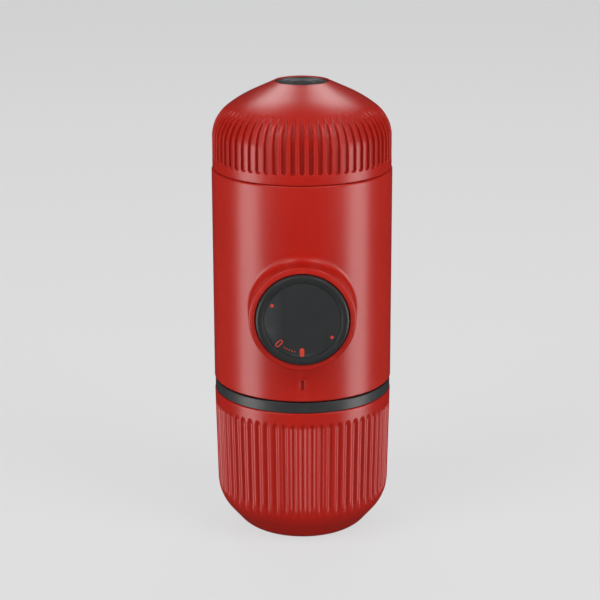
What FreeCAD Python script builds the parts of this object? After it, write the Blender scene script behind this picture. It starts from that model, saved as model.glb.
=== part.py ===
import FreeCAD, Part
import math
import os
import Sketcher
from FreeCAD import Placement, Rotation, Vector

# Hand-pumped espresso maker, in millimetres and degrees. It stands on its drinking cup with +Z up,
# and the round knob of its pump faces -Y. Pump pieces are drawn about the pump's own axis, where
# a height of 0 is the centre line of the body and larger heights lie further out of the front.

SIZES = {
    # whole object
    "total_height": 158.0,
    "body_radius": 30.7,
    "shell_wall": 1.8,
    "pump_height": 85.8,
    # clearances
    "seat_gap": 0.05,
    "running_gap": 0.05,
    "thread_gap": 0.4,
    "assembly_gap": 0.2,
    # bands that show on the outside
    "cup_height": 50.2,
    "cup_gap": 0.1,
    "ring_height": 3.7,
    "ring_inset": 0.25,
    "ring_gap": 0.5,
    "tank_seam": 128.6,
    "tank_gap": 0.2,
    "seam_bevel": 0.4,
    # water tank
    "tank_radius": 30.4,
    "shoulder_round": 12.6,
    "shoulder_turn": 52.0,
    "crown_round": 45.0,
    "crown_turn": 65.0,
    "badge_rim_radius": 9.3,
    "badge_radius": 8.8,
    "badge_recess": 1.3,
    "badge_thickness": 1.0,
    "tank_ceiling": 2.0,
    "neck_radius": 26.0,
    "neck_wall": 2.4,
    "neck_length": 16.4,
    "tank_seal_width": 1.9,
    "tank_seal_depth": 1.0,
    "tank_seal_raise": 1.4,
    # tank flutes
    "tank_flute_count": 64,
    "tank_flute_width": 1.9,
    "tank_flute_floor": 0.8,
    "tank_flute_depth": 0.95,
    "tank_flute_start": 132.3,
    "tank_flute_turn": 34.0,
    "tank_flute_run": 6.0,
    # tank socket and its valves
    "deck_height": 106.0,
    "deck_thickness": 3.8,
    "socket_top_gap": 0.6,
    "valve_offset": 14.5,
    "valve_bore": 1.5,
    "ball_radius": 2.2,
    "ball_travel": 0.8,
    "valve_pocket": 3.2,
    "inlet_seat_radius": 4.0,
    "inlet_flange_radius": 5.2,
    "inlet_flange": 0.6,
    "strainer_radius": 6.3,
    "strainer_height": 3.2,
    "strainer_wall": 0.8,
    "vent_offset": 13.0,
    "vent_stem": 1.6,
    "vent_cap": 4.0,
    "vent_height": 1.3,
    # body shell
    "ledge_width": 1.7,
    "ledge_height": 1.8,
    "collar_radius": 17.5,
    "collar_front": 38.4,
    "collar_round": 0.7,
    "collar_blend": 2.5,
    "collar_lip": 1.2,
    "bush_wall": 1.0,
    "bush_back": 27.0,
    "lug_relief_depth": 25.0,
    "index_mark_height": 60.5,
    "index_mark_width": 1.7,
    "index_mark_length": 3.5,
    "index_mark_depth": 0.4,
    # knob
    "knob_radius": 15.35,
    "knob_front": 40.0,
    "knob_back": 2.0,
    "knob_wall": 1.75,
    "knob_lip_gap": 0.25,
    "knob_rim_width": 2.6,
    "knob_rim_round": 1.0,
    "knob_face_recess": 0.55,
    "knob_face_thickness": 1.4,
    "knob_plate": 2.4,
    "lug_height": 1.25,
    "lug_width": 4.0,
    "lug_length": 2.5,
    # plunger
    "stroke": 20.0,
    "piston_radius": 5.95,
    "piston_back": -13.5,
    "piston_length": 6.0,
    "piston_ring_width": 1.6,
    "piston_ring_depth": 1.3,
    "rod_radius": 4.0,
    "rod_flange_radius": 6.0,
    "rod_flange": 1.0,
    "rod_pilot": 8.5,
    "washer_radius": 12.6,
    "washer_thickness": 1.2,
    "knob_screw_radius": 1.5,
    "knob_screw_length": 8.0,
    "knob_screw_head": 2.9,
    "knob_screw_head_height": 1.5,
    # pump
    "liner_wall": 1.2,
    "liner_back": -15.5,
    "liner_front": 13.0,
    "port_radius": 0.9,
    "gland_plug": 3.0,
    "gland_flange": 1.2,
    "gland_flange_radius": 8.8,
    "block_half_width": 12.0,
    "block_flange": 3.0,
    "block_back": -20.0,
    "block_front": 1.0,
    "column_half_width": 6.5,
    "barrel_wall": 2.75,
    "nose_wall": 1.95,
    "block_screw_radius": 1.25,
    "block_screw_head": 2.3,
    "block_screw_head_height": 1.4,
    "block_screw_length": 6.0,
    "block_screw_across": 9.3,
    "block_screw_spacing": 15.0,
    "outlet_seat_wall": 2.05,
    "outlet_cage_height": 1.2,
    "outlet_cage_bore": 1.2,
    "lock_plate_back": 6.0,
    "lock_plate_thickness": 2.5,
    "lock_plate_half_width": 21.0,
    "lock_gap": 0.3,
    "unlock_turn": 45.0,
    "lock_slot_margin": 10.0,
    # springs
    "spring_radius": 10.6,
    "spring_wire": 1.1,
    "spring_turns": 4,
    "valve_spring_radius": 1.7,
    "valve_spring_wire": 0.4,
    "valve_spring_turns": 3,
    "spring_end_gap": 0.15,
    # brewing face
    "brew_plate_top": 69.0,
    "brew_plate_thickness": 3.0,
    "chamber_radius": 19.5,
    "chamber_depth": 1.6,
    "brew_hole": 2.5,
    "screen_radius": 21.5,
    "screen_thickness": 0.7,
    "screen_screw_radius": 1.5,
    "screen_screw_head": 3.0,
    "screen_screw_head_height": 1.4,
    "screen_screw_length": 4.3,
    "brew_seal_inner": 21.9,
    "brew_seal_thickness": 1.6,
    "perforation": 1.0,
    "perforation_spacing": 6.4,
    # filter basket
    "basket_radius": 22.4,
    "basket_wall": 0.5,
    "basket_rim_width": 3.2,
    "basket_rim": 0.7,
    "basket_depth": 14.4,
    "basket_floor": 0.6,
    "basket_perforation_spacing": 7.0,
    # outlet head
    "head_neck_radius": 25.9,
    "head_neck_bore": 23.3,
    "head_floor": 46.6,
    "funnel_drop": 5.6,
    "funnel_bore": 2.5,
    "spigot_radius": 28.2,
    "spigot_length": 6.5,
    "head_boss_radius": 7.6,
    "head_boss_end": 34.0,
    "cup_seal_width": 1.9,
    "cup_seal_depth": 1.2,
    "nozzle_radius": 5.0,
    "nozzle_bore": 1.5,
    "nozzle_flange": 6.6,
    "nozzle_length": 12.0,
    "nozzle_tip": 3.2,
    # drinking cup
    "cup_rim_radius": 30.62,
    "cup_foot_radius": 29.95,
    "cup_foot_height": 17.0,
    "cup_shoulder_round": 14.8,
    "cup_shoulder_turn": 41.0,
    "cup_base_round": 8.7,
    "cup_base_turn": 49.0,
    "cup_base_radius": 16.1,
    "cup_floor": 3.0,
    "cup_floor_radius": 20.3,
    "cup_flute_count": 60,
    "cup_flute_width": 1.8,
    "cup_flute_floor": 0.9,
    "cup_flute_depth": 0.8,
    "cup_flute_top": 46.3,
    # scoop
    "scoop_radius": 21.9,
    "scoop_wall": 1.3,
    "scoop_height": 17.0,
    "scoop_bevel": 3.3,
}

DECIMALS = 9
UPRIGHT = Rotation()
FORWARD = Rotation(Vector(1, 0, 0), 90)

doc = FreeCAD.newDocument("espresso_maker")


class Size:
    """A size with its number and the spreadsheet formula that it comes from."""

    def __init__(self, number, formula):
        self.number = number
        self.formula = formula

    def __add__(self, other):
        other = sized(other)
        return Size(self.number + other.number, f"({self.formula} + {other.formula})")

    def __sub__(self, other):
        other = sized(other)
        return Size(self.number - other.number, f"({self.formula} - {other.formula})")

    def __mul__(self, other):
        other = sized(other)
        return Size(self.number * other.number, f"({self.formula} * {other.formula})")

    def __truediv__(self, other):
        other = sized(other)
        return Size(self.number / other.number, f"({self.formula} / {other.formula})")

    def __radd__(self, other):
        return sized(other) + self

    def __rsub__(self, other):
        return sized(other) - self

    def __rmul__(self, other):
        return sized(other) * self

    def __neg__(self):
        return sized(0) - self


def sized(value):
    """A plain number as a size."""
    if isinstance(value, Size):
        return value
    return Size(float(value), f"({value})")


def sine(angle):
    return Size(math.sin(math.radians(angle.number)), f"sin({angle.formula} * 1deg)")


def cosine(angle):
    return Size(math.cos(math.radians(angle.number)), f"cos({angle.formula} * 1deg)")


def tangent(angle):
    return sine(angle) / cosine(angle)


def root(value):
    return Size(math.sqrt(value.number), f"sqrt({value.formula})")


class Sheet:
    """The spreadsheet of driving sizes, read by name."""

    def __init__(self, sizes):
        self.cells = doc.addObject("Spreadsheet::Sheet", "Sizes")
        for row, (name, value) in enumerate(sizes.items(), start=1):
            self.cells.set(f"A{row}", name)
            self.cells.set(f"B{row}", str(value))
            self.cells.setAlias(f"B{row}", name)
        doc.recompute()

    def __getattr__(self, name):
        return Size(float(self.cells.get(name)), f"Sizes.{name}")


s = Sheet(SIZES)


def bind(item, prop, value):
    """Ties one property of an object to a size."""
    item.setExpression(prop, sized(value).formula)


def place(item, rotation=UPRIGHT, across=0, along=0, up=0):
    """Turns an object and ties its position to sizes."""
    item.Placement = Placement(Vector(0, 0, 0), rotation)
    bind(item, "Placement.Base.x", across)
    bind(item, "Placement.Base.y", along)
    bind(item, "Placement.Base.z", up)
    return item


def arc_between(start, end, bend):
    """An arc of a given radius from one point to the next, to the left where the radius is positive."""
    chord = end - start
    side = Vector(-chord.y, chord.x, 0).normalize()
    if bend < 0:
        side = side * -1
    reach = math.sqrt(bend * bend - chord.Length * chord.Length / 4)
    centre = start + chord * 0.5 + side * reach
    first, last = (start, end) if bend > 0 else (end, start)
    angles = [math.atan2(point.y - centre.y, point.x - centre.x) for point in (first, last)]
    circle = Part.Circle(centre, Vector(0, 0, 1), abs(bend))
    return Part.ArcOfCircle(circle, angles[0], angles[1])


def draw(sketch, outline):
    """Draws a closed outline and ties every corner to the sheet.

    A corner is (across, up), or (across, up, bend) where an arc of that radius runs to the next
    corner. A positive bend turns left and a negative one turns right.
    """
    corners = [[sized(value) for value in corner] for corner in outline]
    points = [Vector(corner[0].number, corner[1].number, 0) for corner in corners]
    count = len(corners)
    ends = []
    for index, corner in enumerate(corners):
        start = points[index]
        end = points[(index + 1) % count]
        if len(corner) == 3:
            sketch.addGeometry(arc_between(start, end, corner[2].number), False)
            ends.append((1, 2) if corner[2].number > 0 else (2, 1))
        else:
            sketch.addGeometry(Part.LineSegment(start, end), False)
            ends.append((1, 2))
    for index in range(count):
        following = (index + 1) % count
        pair = (index, ends[index][1], following, ends[following][0])
        sketch.addConstraint(Sketcher.Constraint("Coincident", *pair))
    for index, corner in enumerate(corners):
        start = ends[index][0]
        for kind, value, axis in (("DistanceX", corner[0], -2), ("DistanceY", corner[1], -1)):
            if abs(value.number) < 1e-9:
                sketch.addConstraint(Sketcher.Constraint("PointOnObject", index, start, axis))
                continue
            rule = Sketcher.Constraint(kind, -1, 1, index, start, value.number)
            number = sketch.addConstraint(rule)
            bind(sketch, f"Constraints[{number}]", value)
        if len(corner) == 3:
            radius = corner[2] if corner[2].number > 0 else -corner[2]
            number = sketch.addConstraint(Sketcher.Constraint("Radius", index, radius.number))
            bind(sketch, f"Constraints[{number}]", radius)


def sketch_on(body, role, outline):
    """A sketch of one outline on a plane of its own body."""
    sketch = body.newObject("Sketcher::SketchObject", f"{body.Name}_outline")
    plane = [item for item in body.Origin.OriginFeatures if item.Role == role][0]
    sketch.AttachmentSupport = [(plane, "")]
    sketch.MapMode = "FlatFace"
    draw(sketch, outline)
    return sketch


def turned(name, outline):
    """A piece turned about its own upright axis."""
    body = doc.addObject("PartDesign::Body", name)
    sketch = sketch_on(body, "XZ_Plane", outline)
    revolution = body.newObject("PartDesign::Revolution", f"{name}_turned")
    revolution.Profile = sketch
    revolution.ReferenceAxis = (sketch, ["V_Axis"])
    revolution.Angle = 360
    sketch.Visibility = False
    return body


def on_pump_axis(item, across=0):
    """Lays a turned piece along the pump's axis, facing forwards."""
    return place(item, FORWARD, across, 0, s.pump_height)


def cylinder(name, radius, length, rotation=UPRIGHT, across=0, along=0, up=0):
    item = doc.addObject("Part::Cylinder", name)
    bind(item, "Radius", radius)
    bind(item, "Height", length)
    return place(item, rotation, across, along, up)


def box(name, low, high):
    """A box between two opposite corners."""
    item = doc.addObject("Part::Box", name)
    for prop, start, end in zip(("Length", "Width", "Height"), low, high):
        bind(item, prop, sized(end) - sized(start))
    return place(item, UPRIGHT, *low)


def fused(name, pieces):
    item = doc.addObject("Part::MultiFuse", name)
    item.Shapes = pieces
    return item


def together(name, pieces):
    """Separate solids kept as one object."""
    item = doc.addObject("Part::Compound", name)
    item.Links = pieces
    return item


def cut(name, base, tool):
    item = doc.addObject("Part::Cut", name)
    item.Base = base
    item.Tool = tool
    return item


# places that more than one piece is built from
ring_bottom = s.cup_height + s.cup_gap
ring_top = ring_bottom + s.ring_height
body_bottom = ring_top + s.ring_gap
body_top = s.tank_seam - s.tank_gap / 2
tank_bottom = s.tank_seam + s.tank_gap / 2
shell_bore = s.body_radius - s.shell_wall
insert_radius = shell_bore - s.assembly_gap
deck_top = s.deck_height + s.deck_thickness
neck_end = tank_bottom - s.neck_length
neck_bore = s.neck_radius - s.neck_wall
socket_bore = s.neck_radius + s.thread_gap
liner_bore = s.piston_radius + s.running_gap
liner_radius = liner_bore + s.liner_wall
block_bore = liner_radius + s.running_gap
barrel_radius = block_bore + s.barrel_wall
knob_bore = s.knob_radius - s.knob_wall
collar_bore = s.knob_radius + s.knob_lip_gap
bush_bore = s.knob_radius + s.running_gap * 2
bush_radius = bush_bore + s.bush_wall
knob_plate_front = s.knob_front - s.knob_face_recess - s.knob_face_thickness
knob_plate_back = knob_plate_front - s.knob_plate
face_radius = s.knob_radius - s.knob_rim_width
brew_plate_bottom = s.brew_plate_top - s.brew_plate_thickness
brew_ring_bottom = brew_plate_bottom - s.chamber_depth
basket_top = brew_ring_bottom - s.brew_seal_thickness - s.assembly_gap
basket_outer = s.basket_radius + s.basket_wall
head_top = basket_top - s.basket_rim - s.seat_gap
inlet_ball_height = s.deck_height - s.inlet_flange - root(
    s.ball_radius * s.ball_radius - s.valve_bore * s.valve_bore
) - s.seat_gap
outlet_seat_height = s.pump_height - block_bore - s.outlet_seat_wall
outlet_ball_height = outlet_seat_height - root(
    s.ball_radius * s.ball_radius - s.valve_bore * s.valve_bore
) - s.seat_gap


# water tank

shoulder_end = s.tank_radius - s.shoulder_round * (1 - cosine(s.shoulder_turn))
crown_end = shoulder_end - s.crown_round * (cosine(s.shoulder_turn) - cosine(s.crown_turn))
crown_end_height = s.total_height - (crown_end - s.badge_rim_radius) / tangent(s.crown_turn)
shoulder_end_height = crown_end_height - s.crown_round * (
    sine(s.crown_turn) - sine(s.shoulder_turn)
)
shoulder_start_height = shoulder_end_height - s.shoulder_round * sine(s.shoulder_turn)


def tank_blank():
    """The tank before its flutes: neck, straight wall, rounded shoulder and shallow cone."""
    wall = s.shell_wall
    groove_low = neck_end + s.tank_seal_raise
    groove_high = groove_low + s.tank_seal_width + s.seat_gap * 2
    groove_radius = s.neck_radius - s.tank_seal_depth
    recess_floor = s.total_height - s.badge_recess
    ceiling = recess_floor - s.tank_ceiling
    crown_inside = crown_end - wall * cosine(s.crown_turn)
    crown_inside_height = crown_end_height - wall * sine(s.crown_turn)
    ceiling_radius = crown_inside - (ceiling - crown_inside_height) * tangent(s.crown_turn)
    outline = [
        (neck_bore, neck_end),
        (s.neck_radius, neck_end),
        (s.neck_radius, groove_low),
        (groove_radius, groove_low),
        (groove_radius, groove_high),
        (s.neck_radius, groove_high),
        (s.neck_radius, tank_bottom),
        (s.tank_radius - s.seam_bevel, tank_bottom),
        (s.tank_radius, tank_bottom + s.seam_bevel),
        (s.tank_radius, shoulder_start_height, s.shoulder_round),
        (shoulder_end, shoulder_end_height, s.crown_round),
        (crown_end, crown_end_height),
        (s.badge_rim_radius, s.total_height),
        (s.badge_radius + s.assembly_gap, s.total_height),
        (s.badge_radius + s.assembly_gap, recess_floor),
        (0, recess_floor),
        (0, ceiling),
        (ceiling_radius, ceiling),
        (crown_inside, crown_inside_height),
        (
            shoulder_end - wall * cosine(s.shoulder_turn),
            shoulder_end_height - wall * sine(s.shoulder_turn),
        ),
        (s.tank_radius - wall, shoulder_start_height),
        (s.tank_radius - wall, tank_bottom + wall),
        (neck_bore, tank_bottom + wall),
    ]
    return turned("tank_blank", outline)


def flute_section(radius, height, width, floor, depth):
    """The section of a flute's cutter: a narrow floor that opens outwards, leaning down as a ramp."""
    clear = depth + s.seam_bevel.number
    half_mouth = (floor + (width - floor) * clear / depth) / 2
    corners = [
        Vector(radius - depth, -floor / 2, height),
        Vector(radius - depth, floor / 2, height),
        Vector(radius - depth + clear, half_mouth, height - clear),
        Vector(radius - depth + clear, -half_mouth, height - clear),
    ]
    return Part.Face(Part.makePolygon(corners + corners[:1]))


def around(shape, count):
    """Copies of a shape, evenly spaced about the upright axis."""
    copies = []
    for index in range(count):
        copy = shape.copy()
        copy.rotate(Vector(0, 0, 0), Vector(0, 0, 1), 360.0 * index / count)
        copies.append(copy)
    return Part.makeCompound(copies)


def tank_flutes():
    """Cutters that run up the wall, round the shoulder and out through the cone."""
    radius = s.tank_radius.number
    depth = s.tank_flute_depth.number
    low = s.tank_flute_start.number
    high = shoulder_start_height.number
    turn = math.radians(s.tank_flute_turn.number)
    bend = s.shoulder_round.number - depth
    centre = Vector(radius - s.shoulder_round.number, 0, high)
    start = Vector(radius - depth, 0, low)
    corner = Vector(radius - depth, 0, high)
    middle = centre + Vector(bend * math.cos(turn / 2), 0, bend * math.sin(turn / 2))
    leave = centre + Vector(bend * math.cos(turn), 0, bend * math.sin(turn))
    run = Vector(-math.sin(turn), 0, math.cos(turn)) * s.tank_flute_run.number
    path = Part.Wire(
        [
            Part.LineSegment(start, corner).toShape(),
            Part.Arc(corner, middle, leave).toShape(),
            Part.LineSegment(leave, leave + run).toShape(),
        ]
    )
    width = s.tank_flute_width.number
    section = flute_section(radius, low, width, s.tank_flute_floor.number, depth)
    item = doc.addObject("Part::Feature", "tank_flutes")
    item.Shape = around(path.makePipe(section), int(s.tank_flute_count.number))
    return item


def water_tank():
    return cut("water_tank", tank_blank(), tank_flutes())


def tank_badge():
    """Disc let into the top of the tank, its edge eased."""
    floor = s.total_height - s.badge_recess
    top = floor + s.badge_thickness
    ease = s.badge_thickness / 4
    outline = [
        (0, floor),
        (s.badge_radius, floor),
        (s.badge_radius, top - ease),
        (s.badge_radius - ease, top),
        (0, top),
    ]
    return turned("tank_badge", outline)


def tank_seal():
    """Rubber ring in the groove of the tank's neck."""
    low = neck_end + s.tank_seal_raise + s.seat_gap
    high = low + s.tank_seal_width
    inner = s.neck_radius - s.tank_seal_depth + s.running_gap
    outer = socket_bore - s.running_gap
    crest = s.tank_seal_width / 3
    outline = [
        (inner, low),
        (outer - s.thread_gap, low),
        (outer, low + crest),
        (outer, high - crest),
        (outer - s.thread_gap, high),
        (inner, high),
    ]
    return turned("tank_seal", outline)


# tank socket and its valves


def tank_socket():
    """Deck under the tank with the round wall that the neck screws into."""
    top = body_top - s.socket_top_gap
    outline = [
        (0, s.deck_height),
        (insert_radius, s.deck_height),
        (insert_radius, top),
        (socket_bore, top),
        (socket_bore, deck_top),
        (0, deck_top),
    ]
    reach = s.deck_thickness * 2
    low = s.deck_height - s.deck_thickness / 2
    inlet = cylinder(
        "inlet_hole", s.inlet_seat_radius + s.running_gap, reach, UPRIGHT, 0, s.valve_offset, low
    )
    vent = cylinder("vent_hole", s.vent_stem + s.running_gap, reach, UPRIGHT, 0, -s.vent_offset, low)
    return cut("tank_socket", turned("socket_blank", outline), together("deck_holes", [inlet, vent]))


def inlet_seat():
    """Flanged valve seat pressed into the deck, with its bore down the middle."""
    low = s.deck_height - s.inlet_flange
    top = deck_top + s.inlet_flange
    outline = [
        (s.valve_bore, low),
        (s.inlet_seat_radius - s.port_radius, low),
        (s.inlet_seat_radius - s.port_radius, s.deck_height),
        (s.inlet_seat_radius, s.deck_height),
        (s.inlet_seat_radius, deck_top),
        (s.inlet_flange_radius, deck_top),
        (s.inlet_flange_radius, top),
        (s.valve_bore, top),
    ]
    return place(turned("inlet_seat", outline), UPRIGHT, 0, s.valve_offset, 0)


def inlet_strainer():
    """Cap of fine mesh over the inlet, standing on the deck."""
    inner = s.strainer_radius - s.strainer_wall
    top = deck_top + s.strainer_height
    outline = [
        (inner, deck_top),
        (s.strainer_radius, deck_top),
        (s.strainer_radius, top - s.strainer_wall),
        (inner, top),
        (0, top),
        (0, top - s.strainer_wall),
        (inner, top - s.strainer_wall),
    ]
    return place(turned("inlet_strainer", outline), UPRIGHT, 0, s.valve_offset, 0)


def vent_valve():
    """Rubber umbrella whose stem holds it in the deck."""
    inner_edge = s.vent_cap - s.vent_height / 2
    outline = [
        (0, s.deck_height - s.seat_gap),
        (s.vent_stem, s.deck_height - s.seat_gap),
        (s.vent_stem, deck_top),
        (s.vent_cap, deck_top),
        (inner_edge, deck_top + s.vent_height),
        (0, deck_top + s.vent_height),
    ]
    return place(turned("vent_valve", outline), UPRIGHT, 0, -s.vent_offset, 0)


def valve_ball(name, height):
    item = doc.addObject("Part::Sphere", name)
    bind(item, "Radius", s.ball_radius)
    return place(item, UPRIGHT, 0, s.valve_offset, height)


def coil(name, radius, wire, turns, length):
    """A spring of square wire wound up its own axis, its least gap to itself printed."""
    pitch = (length - wire) / turns
    helix = Part.makeHelix(pitch, pitch * turns, radius)
    half = wire / 2
    helix.translate(Vector(0, 0, half))
    corners = [
        Vector(radius - half, 0, 0),
        Vector(radius + half, 0, 0),
        Vector(radius + half, 0, wire),
        Vector(radius - half, 0, wire),
    ]
    section = Part.makePolygon(corners + corners[:1])
    wound = Part.Wire(helix.Edges).makePipeShell([section], True, True)
    print(name, "gap between turns", round(pitch - wire, 2))
    item = doc.addObject("Part::Feature", name)
    item.Shape = wound
    return item


def valve_spring(name, floor, ball_height):
    reach = root(
        s.ball_radius * s.ball_radius - s.valve_spring_radius * s.valve_spring_radius
    )
    length = ball_height - reach - floor - s.spring_end_gap * 2
    item = coil(
        name,
        s.valve_spring_radius.number,
        s.valve_spring_wire.number,
        int(s.valve_spring_turns.number),
        length.number,
    )
    return place(item, UPRIGHT, 0, s.valve_offset, floor + s.spring_end_gap)


# body shell with the collar of the knob


def shell_tube():
    """Tube of the body with an inner ledge under the deck and one over the brewing face."""
    ledge_bore = shell_bore - s.ledge_width
    deck_ledge = s.deck_height - s.ledge_height
    brew_ledge = s.brew_plate_top + s.ledge_height
    outline = [
        (shell_bore, body_bottom),
        (s.body_radius - s.seam_bevel, body_bottom),
        (s.body_radius, body_bottom + s.seam_bevel),
        (s.body_radius, body_top - s.seam_bevel),
        (s.body_radius - s.seam_bevel, body_top),
        (shell_bore, body_top),
        (shell_bore, s.deck_height),
        (ledge_bore, s.deck_height),
        (ledge_bore, deck_ledge),
        (shell_bore, deck_ledge - s.ledge_width),
        (shell_bore, brew_ledge + s.ledge_width),
        (ledge_bore, brew_ledge),
        (ledge_bore, s.brew_plate_top),
        (shell_bore, s.brew_plate_top),
    ]
    return turned("shell_tube", outline)


def collar():
    """Round collar in front of the body, hollowed to the shell's bore behind."""
    ease = s.collar_round
    outline = [
        (0, s.collar_radius),
        (s.collar_radius, s.collar_radius),
        (s.collar_radius, s.collar_front - ease),
        (s.collar_radius - ease / 3, s.collar_front - ease / 3),
        (s.collar_radius - ease, s.collar_front),
        (collar_bore, s.collar_front - s.collar_round / 2),
        (0, s.collar_front - s.collar_round / 2),
    ]
    plug = on_pump_axis(turned("collar_plug", outline))
    low = s.pump_height - s.collar_radius * 2
    inside = cylinder("collar_inside", shell_bore, s.collar_radius * 4, UPRIGHT, 0, 0, low)
    return cut("collar", plug, inside)


def saddle_edges(shape):
    """Numbers of the edges where the collar's side meets the outside of the tube."""
    found = []
    for number, edge in enumerate(shape.Edges, start=1):
        first, last = edge.ParameterRange
        points = [edge.valueAt(first + (last - first) * part) for part in (0.2, 0.5, 0.8)]
        on_tube = [abs(math.hypot(p.x, p.y) - s.body_radius.number) < 0.01 for p in points]
        axis = s.pump_height.number
        on_collar = [abs(math.hypot(p.x, p.z - axis) - s.collar_radius.number) < 0.01 for p in points]
        if all(on_tube) and all(on_collar):
            found.append(number)
    return found


def index_mark():
    """Cutter for the upright slot under the collar that the knob's mark is turned to."""
    half = s.index_mark_width / 2
    reach = (s.index_mark_length - s.index_mark_width) / 2
    low = s.index_mark_height - reach
    high = s.index_mark_height + reach
    floor = s.index_mark_depth - s.body_radius
    front = floor - s.index_mark_depth * 2
    depth = s.index_mark_depth * 2
    return fused(
        "index_mark",
        [
            box("index_mark_middle", (-half, front, low), (half, floor, high)),
            cylinder("index_mark_foot", half, depth, FORWARD, 0, floor, low),
            cylinder("index_mark_head", half, depth, FORWARD, 0, floor, high),
        ],
    )


def body_shell():
    """Tube and collar in one moulding, blended where they meet, with the knob's bore."""
    outside = fused("shell_outside", [shell_tube(), collar()])
    doc.recompute()
    blended = doc.addObject("Part::Fillet", "shell_blended")
    blended.Base = outside
    radius = s.collar_blend.number
    blended.Edges = [(number, radius, radius) for number in saddle_edges(outside.Shape)]
    lip = s.collar_front - s.collar_lip
    lug_reach = s.knob_radius + s.lug_height + s.lock_gap
    steps = [
        (0, 0),
        (lug_reach, 0),
        (lug_reach, s.lug_relief_depth),
        (bush_radius + s.running_gap, s.lug_relief_depth),
        (bush_radius + s.running_gap, lip),
        (collar_bore, lip),
        (collar_bore, s.knob_front),
        (0, s.knob_front),
    ]
    bore = on_pump_axis(turned("knob_bore_cutter", steps))
    return cut("body_shell", blended, together("shell_cutters", [bore, index_mark()]))


def collar_bush():
    """Slippery ring inside the collar that guides the knob's sleeve."""
    front = s.collar_front - s.collar_lip
    outline = [
        (bush_bore, s.bush_back),
        (bush_radius, s.bush_back),
        (bush_radius, front),
        (bush_bore, front),
    ]
    return on_pump_axis(turned("collar_bush", outline))


# pump block


def pump_block():
    """Block that carries the pump: two flanges, a column between them, a barrel and a nose."""
    back = -s.block_front
    front = -s.block_back
    half = s.block_half_width
    column = s.column_half_width
    low = s.brew_plate_top
    high = s.deck_height
    nose = s.liner_front + s.gland_plug
    top_flange = box("top_flange", (-half, back, high - s.block_flange), (half, front, high))
    low_flange = box("low_flange", (-half, back, low), (half, front, low + s.block_flange))
    middle = box("block_column", (-column, back, low), (column, front, high))
    barrel = cylinder(
        "block_barrel", barrel_radius, s.block_front - s.block_back, FORWARD, 0, front, s.pump_height
    )
    tip = cylinder("block_nose", block_bore + s.nose_wall, nose, FORWARD, 0, 0, s.pump_height)
    solid = fused("block_solid", [top_flange, low_flange, middle, barrel, tip])
    bore = cylinder(
        "block_bore", block_bore, nose - s.liner_back + 1, FORWARD, 0, -s.liner_back, s.pump_height
    )
    inlet_floor = s.pump_height + barrel_radius
    inlet_pocket = cylinder(
        "inlet_pocket", s.valve_pocket, high - inlet_floor + 1, UPRIGHT, 0, s.valve_offset, inlet_floor
    )
    outlet_pocket = cylinder(
        "outlet_pocket",
        s.valve_pocket,
        outlet_seat_height - low + 1,
        UPRIGHT,
        0,
        s.valve_offset,
        low - 1,
    )
    inlet_port = cylinder(
        "inlet_port", s.port_radius, barrel_radius + 1, UPRIGHT, 0, s.valve_offset, s.pump_height
    )
    outlet_port = cylinder(
        "outlet_port",
        s.valve_bore,
        s.pump_height - outlet_seat_height + 1,
        UPRIGHT,
        0,
        s.valve_offset,
        outlet_seat_height - 1,
    )
    holes = []
    for number, (across, along) in enumerate(block_screw_places(), start=1):
        holes.append(
            cylinder(
                f"block_screw_hole_{number}",
                s.block_screw_radius + s.running_gap,
                s.block_flange * 2,
                UPRIGHT,
                across,
                along,
                high - s.block_flange * 1.5,
            )
        )
    tools = fused("block_tools", [bore, inlet_pocket, outlet_pocket, inlet_port, outlet_port] + holes)
    return cut("pump_block", solid, tools)


def block_screw_places():
    """Four places, in from the block's corners."""
    middle = -(s.block_front + s.block_back) / 2
    half = s.block_screw_spacing / 2
    across = s.block_screw_across
    return [
        (side * across, middle + end * half)
        for side in (-1, 1)
        for end in (-1, 1)
    ]


def screw_outline(radius, length, head_radius, head_height):
    """Half section of a plain round-headed screw, its head downwards and its seat at 0."""
    return [
        (0, -head_height),
        (head_radius, -head_height),
        (head_radius, 0),
        (radius, 0),
        (radius, length),
        (0, length),
    ]


def block_screws():
    """Four short screws up through the block's top flange into the deck."""
    outline = screw_outline(
        s.block_screw_radius,
        s.block_screw_length - s.block_flange,
        s.block_screw_head,
        s.block_screw_head_height,
    )
    screws = []
    for number, (across, along) in enumerate(block_screw_places(), start=1):
        screw = turned(f"block_screw_{number}", outline)
        screws.append(place(screw, UPRIGHT, across, along, s.deck_height - s.block_flange))
    return together("block_screws", screws)


def lock_plate():
    """Upright plate that the knob's lugs lock behind, slotted over the whole unlocking turn."""
    back = -s.lock_plate_back
    front = back - s.lock_plate_thickness
    half = s.lock_plate_half_width
    plate = box("lock_plate_blank", (-half, front, s.brew_plate_top), (half, back, s.deck_height))
    reach = s.lock_plate_thickness * 3
    start = s.lock_plate_thickness - s.lock_plate_back
    bore = cylinder("lock_bore", collar_bore, reach, FORWARD, 0, start, s.pump_height)
    slots = [bore]
    for number, side in enumerate((0, 180), start=1):
        slot = doc.addObject("Part::Cylinder", f"lock_slot_{number}")
        bind(slot, "Radius", s.knob_radius + s.lug_height + s.lock_gap)
        bind(slot, "Height", reach)
        bind(slot, "Angle", s.unlock_turn + s.lock_slot_margin * 2)
        spin = Rotation(Vector(0, 0, 1), side - s.lock_slot_margin.number)
        slots.append(place(slot, FORWARD * spin, 0, start, s.pump_height))
    return cut("lock_plate", plate, fused("lock_tools", slots))


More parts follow.
